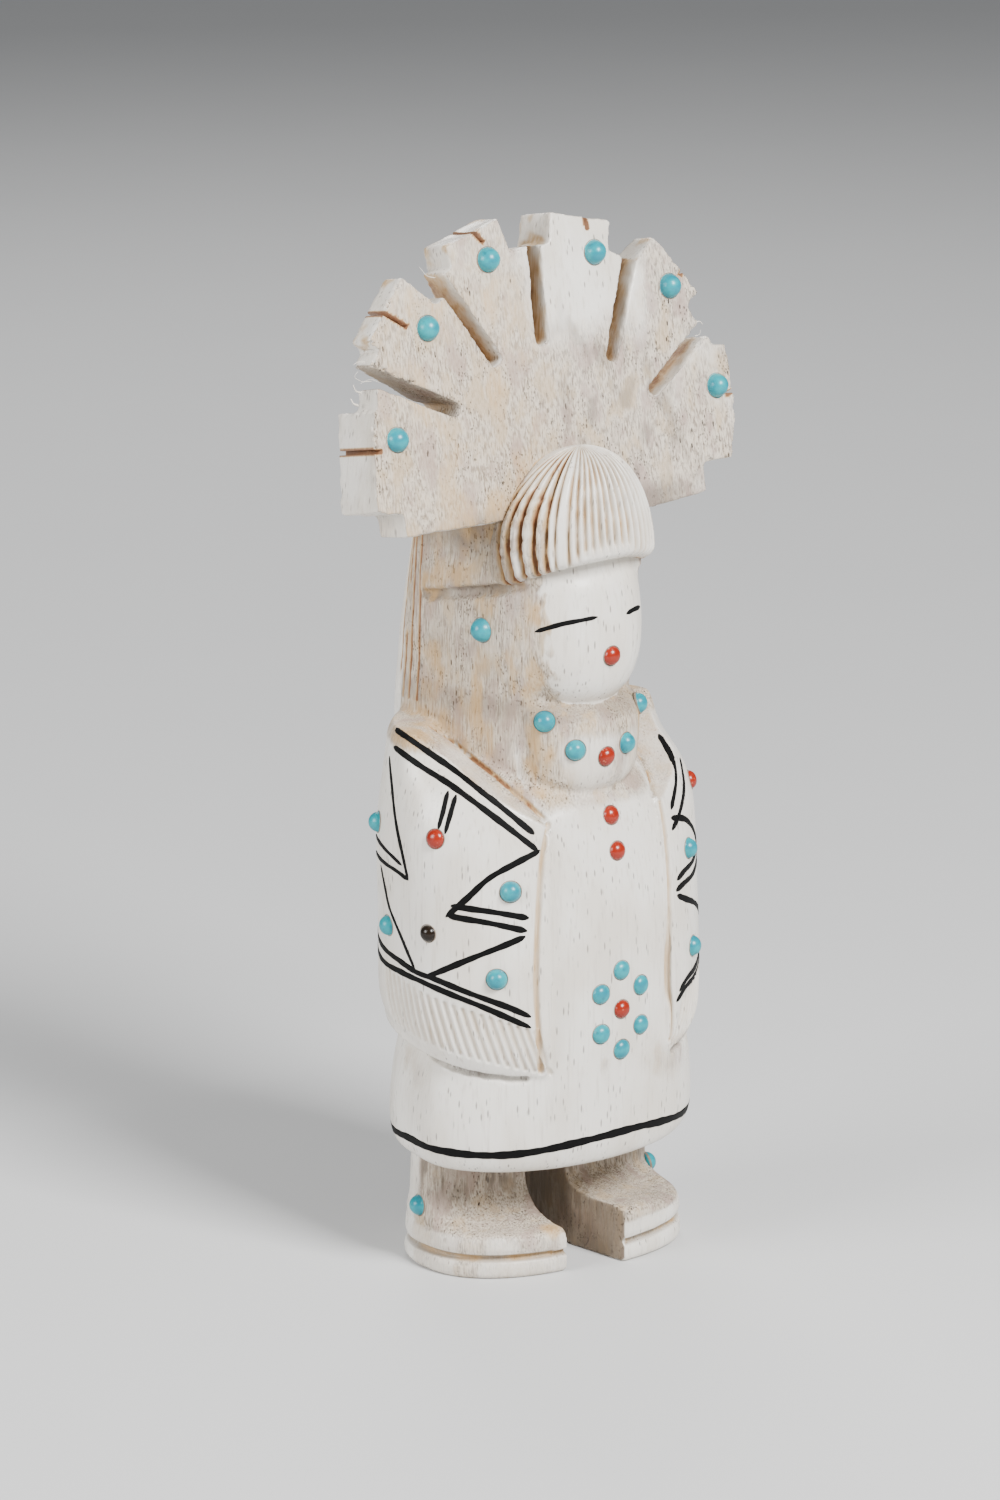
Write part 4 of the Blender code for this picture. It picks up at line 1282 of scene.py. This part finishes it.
def antler():
    """Ivory-white where it is polished, beige and porous where the core shows, ochre in the cuts, grey-brown
    where painted shade and grime lie.
    """
    finish = Finish("antler")
    polish, stain, soil = finish.coat("polish"), finish.coat("stain"), finish.coat("soil")
    mottle = finish.lumps((6.0, 6.0, 10.0))
    tint = finish.lumps((2.6, 2.6, 5.0), 4.0)
    streaks = finish.lumps((0.4, 0.4, 5.0), 4.0)
    fibres = finish.lumps((0.2, 0.2, 1.7), 3.0)
    grain = finish.lumps((0.3, 0.3, 0.55), 4.0)
    open_grain = (1.0 - polish + (grain - 0.5) * 0.3).ramp(0.15, 0.75)
    porous = (1.0 - polish).ramp(0.3, 0.85)
    pits = finish.cells((0.5, 0.5, 1.7)).ramp(0.26, 0.13) * finish.lumps((1.1, 1.1, 2.6)).ramp(0.5, 0.6)
    fine_pits = finish.cells((0.3, 0.3, 0.55)).ramp(0.32, 0.14)
    fine_pits = fine_pits * finish.lumps((2.2, 2.2, 3.6)).ramp(0.45, 0.58)
    flecks = finish.cells((0.5, 0.5, 2.4)).ramp(0.28, 0.12) * finish.lumps((2.5, 2.5, 5.0)).ramp(0.43, 0.56)
    crowded = finish.lumps((5.0, 5.0, 8.0), 3.0).ramp(0.36, 0.6)
    holes = (pits + fine_pits * 0.7).clamped() * porous * (0.35 + crowded * 0.75)
    ivory = finish.blend(mottle.ramp(0.35, 0.7), IVORY_LIGHT, IVORY_WARM)
    ivory = finish.blend(streaks.ramp(0.5, 0.78) * 0.5, ivory, IVORY_STREAK)
    ivory = finish.blend(flecks * 0.7, ivory, FLECK_GREY)
    core = finish.blend((fibres * 0.75 + grain * 0.25).ramp(0.36, 0.58), CORE_DARK, CORE_LIGHT)
    core = finish.blend(tint.ramp(0.5, 0.64) * 0.75, core, CORE_PINK)
    core = finish.blend(tint.ramp(0.48, 0.34) * 0.65, core, CORE_YELLOW)
    base = finish.blend(open_grain * 0.9, ivory, core)
    base = finish.blend(holes * 0.9, base, PIT_BROWN)
    # Painted shade and grime: the base turns grey-brown where that coat is high.
    base = finish.blend((soil * (0.4 + fibres * 1.1)).clamped() * 0.85, base, SHADE_AND_GRIME_GREY)
    browned = (stain * (0.4 + streaks * 1.2)).clamped()
    tan = finish.blend(browned.ramp(0.35, 0.85), STAIN_TAN, STAIN_BROWN)
    base = finish.blend(browned.ramp(0.0, 0.55) * 0.9, base, tan)
    relief = (fibres * 0.4 + grain * 0.2) * open_grain - holes + streaks * 0.08
    roughness = 0.27 + open_grain * 0.4 + browned * 0.12
    return finish.shade(Base_Color=base, Roughness=roughness, Normal=finish.bump(relief, 0.2))


def turquoise():
    finish = Finish("turquoise")
    clouds = finish.lumps((1.6, 1.6, 1.6))
    matrix = finish.lumps((0.9, 0.9, 0.9), 6.0).ramp(0.62, 0.7)
    base = finish.blend(clouds.ramp(0.35, 0.65), colour(0.001, 0.20, 0.26), colour(0.004, 0.30, 0.34))
    base = finish.blend(matrix * 0.5, base, colour(0.01, 0.12, 0.15))
    return finish.shade(Base_Color=base, Roughness=0.27 + clouds * 0.1)


def coral():
    finish = Finish("coral")
    specks = finish.cells((0.5, 0.5, 0.5)).ramp(0.3, 0.12) * finish.lumps((1.1, 1.1, 1.1)).ramp(0.5, 0.62)
    base = finish.blend(finish.lumps((1.4, 1.4, 1.4)), colour(0.20, 0.007, 0.001), colour(0.32, 0.02, 0.004))
    base = finish.blend(specks * 0.5, base, colour(0.55, 0.17, 0.09))
    return finish.shade(Base_Color=base, Roughness=0.26 + specks * 0.2)


def jet():
    finish = Finish("jet")
    clouds = finish.lumps((0.8, 0.8, 0.8))
    base = finish.blend(clouds, colour(0.006, 0.004, 0.002), colour(0.018, 0.011, 0.006))
    return finish.shade(Base_Color=base, Roughness=0.2, Specular_IOR_Level=0.3)


def ink():
    finish = Finish("black_ink")
    grain = finish.lumps((0.6, 0.6, 0.6))
    base = finish.blend(grain, colour(0.001, 0.001, 0.001), colour(0.003, 0.003, 0.003))
    return finish.shade(Base_Color=base, Roughness=0.6, Specular_IOR_Level=0.12)


# Dark filler round each stone, which also stands for the painted contact shadow.
def filler_and_shade():
    finish = Finish("seat_filler")
    base = finish.blend(finish.lumps((0.5, 0.5, 0.5)), colour(0.10, 0.07, 0.045), colour(0.30, 0.24, 0.18))
    return finish.shade(Base_Color=base, Roughness=0.7)


def pale_floor():
    finish = Finish("pale_floor")
    clouds = finish.lumps((40.0, 40.0, 40.0))
    base = finish.blend(clouds, colour(0.60, 0.60, 0.60), colour(0.62, 0.62, 0.615))
    return finish.shade(Base_Color=base, Roughness=0.8)


def dress_part(piece, finish, slot, *nodes):
    """Gives the piece its finish, smooth shading and its body, and hides the CAD nodes it stands in for."""
    piece.data.materials.clear()
    piece.data.materials.append(finish)
    shade_smooth(piece)
    if nodes:
        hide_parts(*nodes)
    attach(piece, "root")


def stage_and_lights():
    bpy.ops.mesh.primitive_plane_add(size=6.0, location=(0.0, 0.0, 0.0))
    floor = bpy.context.object
    floor.name = "floor"
    floor.data.materials.append(pale_floor())
    world = bpy.data.worlds.new("studio")
    bpy.context.scene.world = world
    world.use_nodes = True
    sky = world.node_tree.nodes["Background"]
    sky.inputs["Color"].default_value = (0.93, 0.96, 1.0, 1.0)
    sky.inputs["Strength"].default_value = 0.2
    for name, azimuth, height, distance, size, power in (
        ("key_light", 4.0, 0.48, 0.5, 0.22, 10.0),
        ("fill_light", -95.0, 0.3, 0.6, 0.3, 4.2),
        ("back_light", 150.0, 0.5, 0.6, 0.3, 2.0),
    ):
        turn = math.radians(azimuth)
        place = Vector((distance * math.sin(turn), -distance * math.cos(turn), height))
        bpy.ops.object.light_add(type="AREA", location=place)
        light = bpy.context.object
        light.name = name
        light.data.size = size
        light.data.energy = power
        light.rotation_euler = (place - Vector((0.0, 0.0, 0.06))).to_track_quat("Z", "Y").to_euler()


# The photograph's viewpoint, what it looks at, in metres, and its lens.
CAMERA_PLACE = Vector((-0.44960, -0.56826, 0.25455))
CAMERA_TARGET = Vector((-0.003587, 0.002611, 0.060436))
CAMERA_LENS = 154.26


def set_camera():
    bpy.ops.object.camera_add(location=CAMERA_PLACE)
    camera = bpy.context.object
    camera.rotation_euler = (CAMERA_PLACE - CAMERA_TARGET).to_track_quat("Z", "Y").to_euler()
    camera.data.sensor_fit = "VERTICAL"
    camera.data.sensor_height = 36.0
    camera.data.lens = CAMERA_LENS
    bpy.context.scene.camera = camera


body = build_body()
engrave_body(body)
lighten(body)
fan = build_fan()
legs = build_legs()
cap = build_cap()
body_skin, fan_skin, legs_skin = skin_of(body), skin_of(fan), skin_of(legs)
lines = build_ink(body_skin)
finishes = {"turquoise": turquoise(), "coral": coral(), "jet": jet(), "filler_and_shade": filler_and_shade()}
carved = antler()
dress_part(body, carved, "antler", "antler_figure")
for piece in (fan, build_burrs(), legs, cap):
    dress_part(piece, carved, "antler")
dress_part(lines, ink(), "antler")
set_stones(body_skin, fan_skin, legs_skin, finishes)
stage_and_lights()
set_camera()
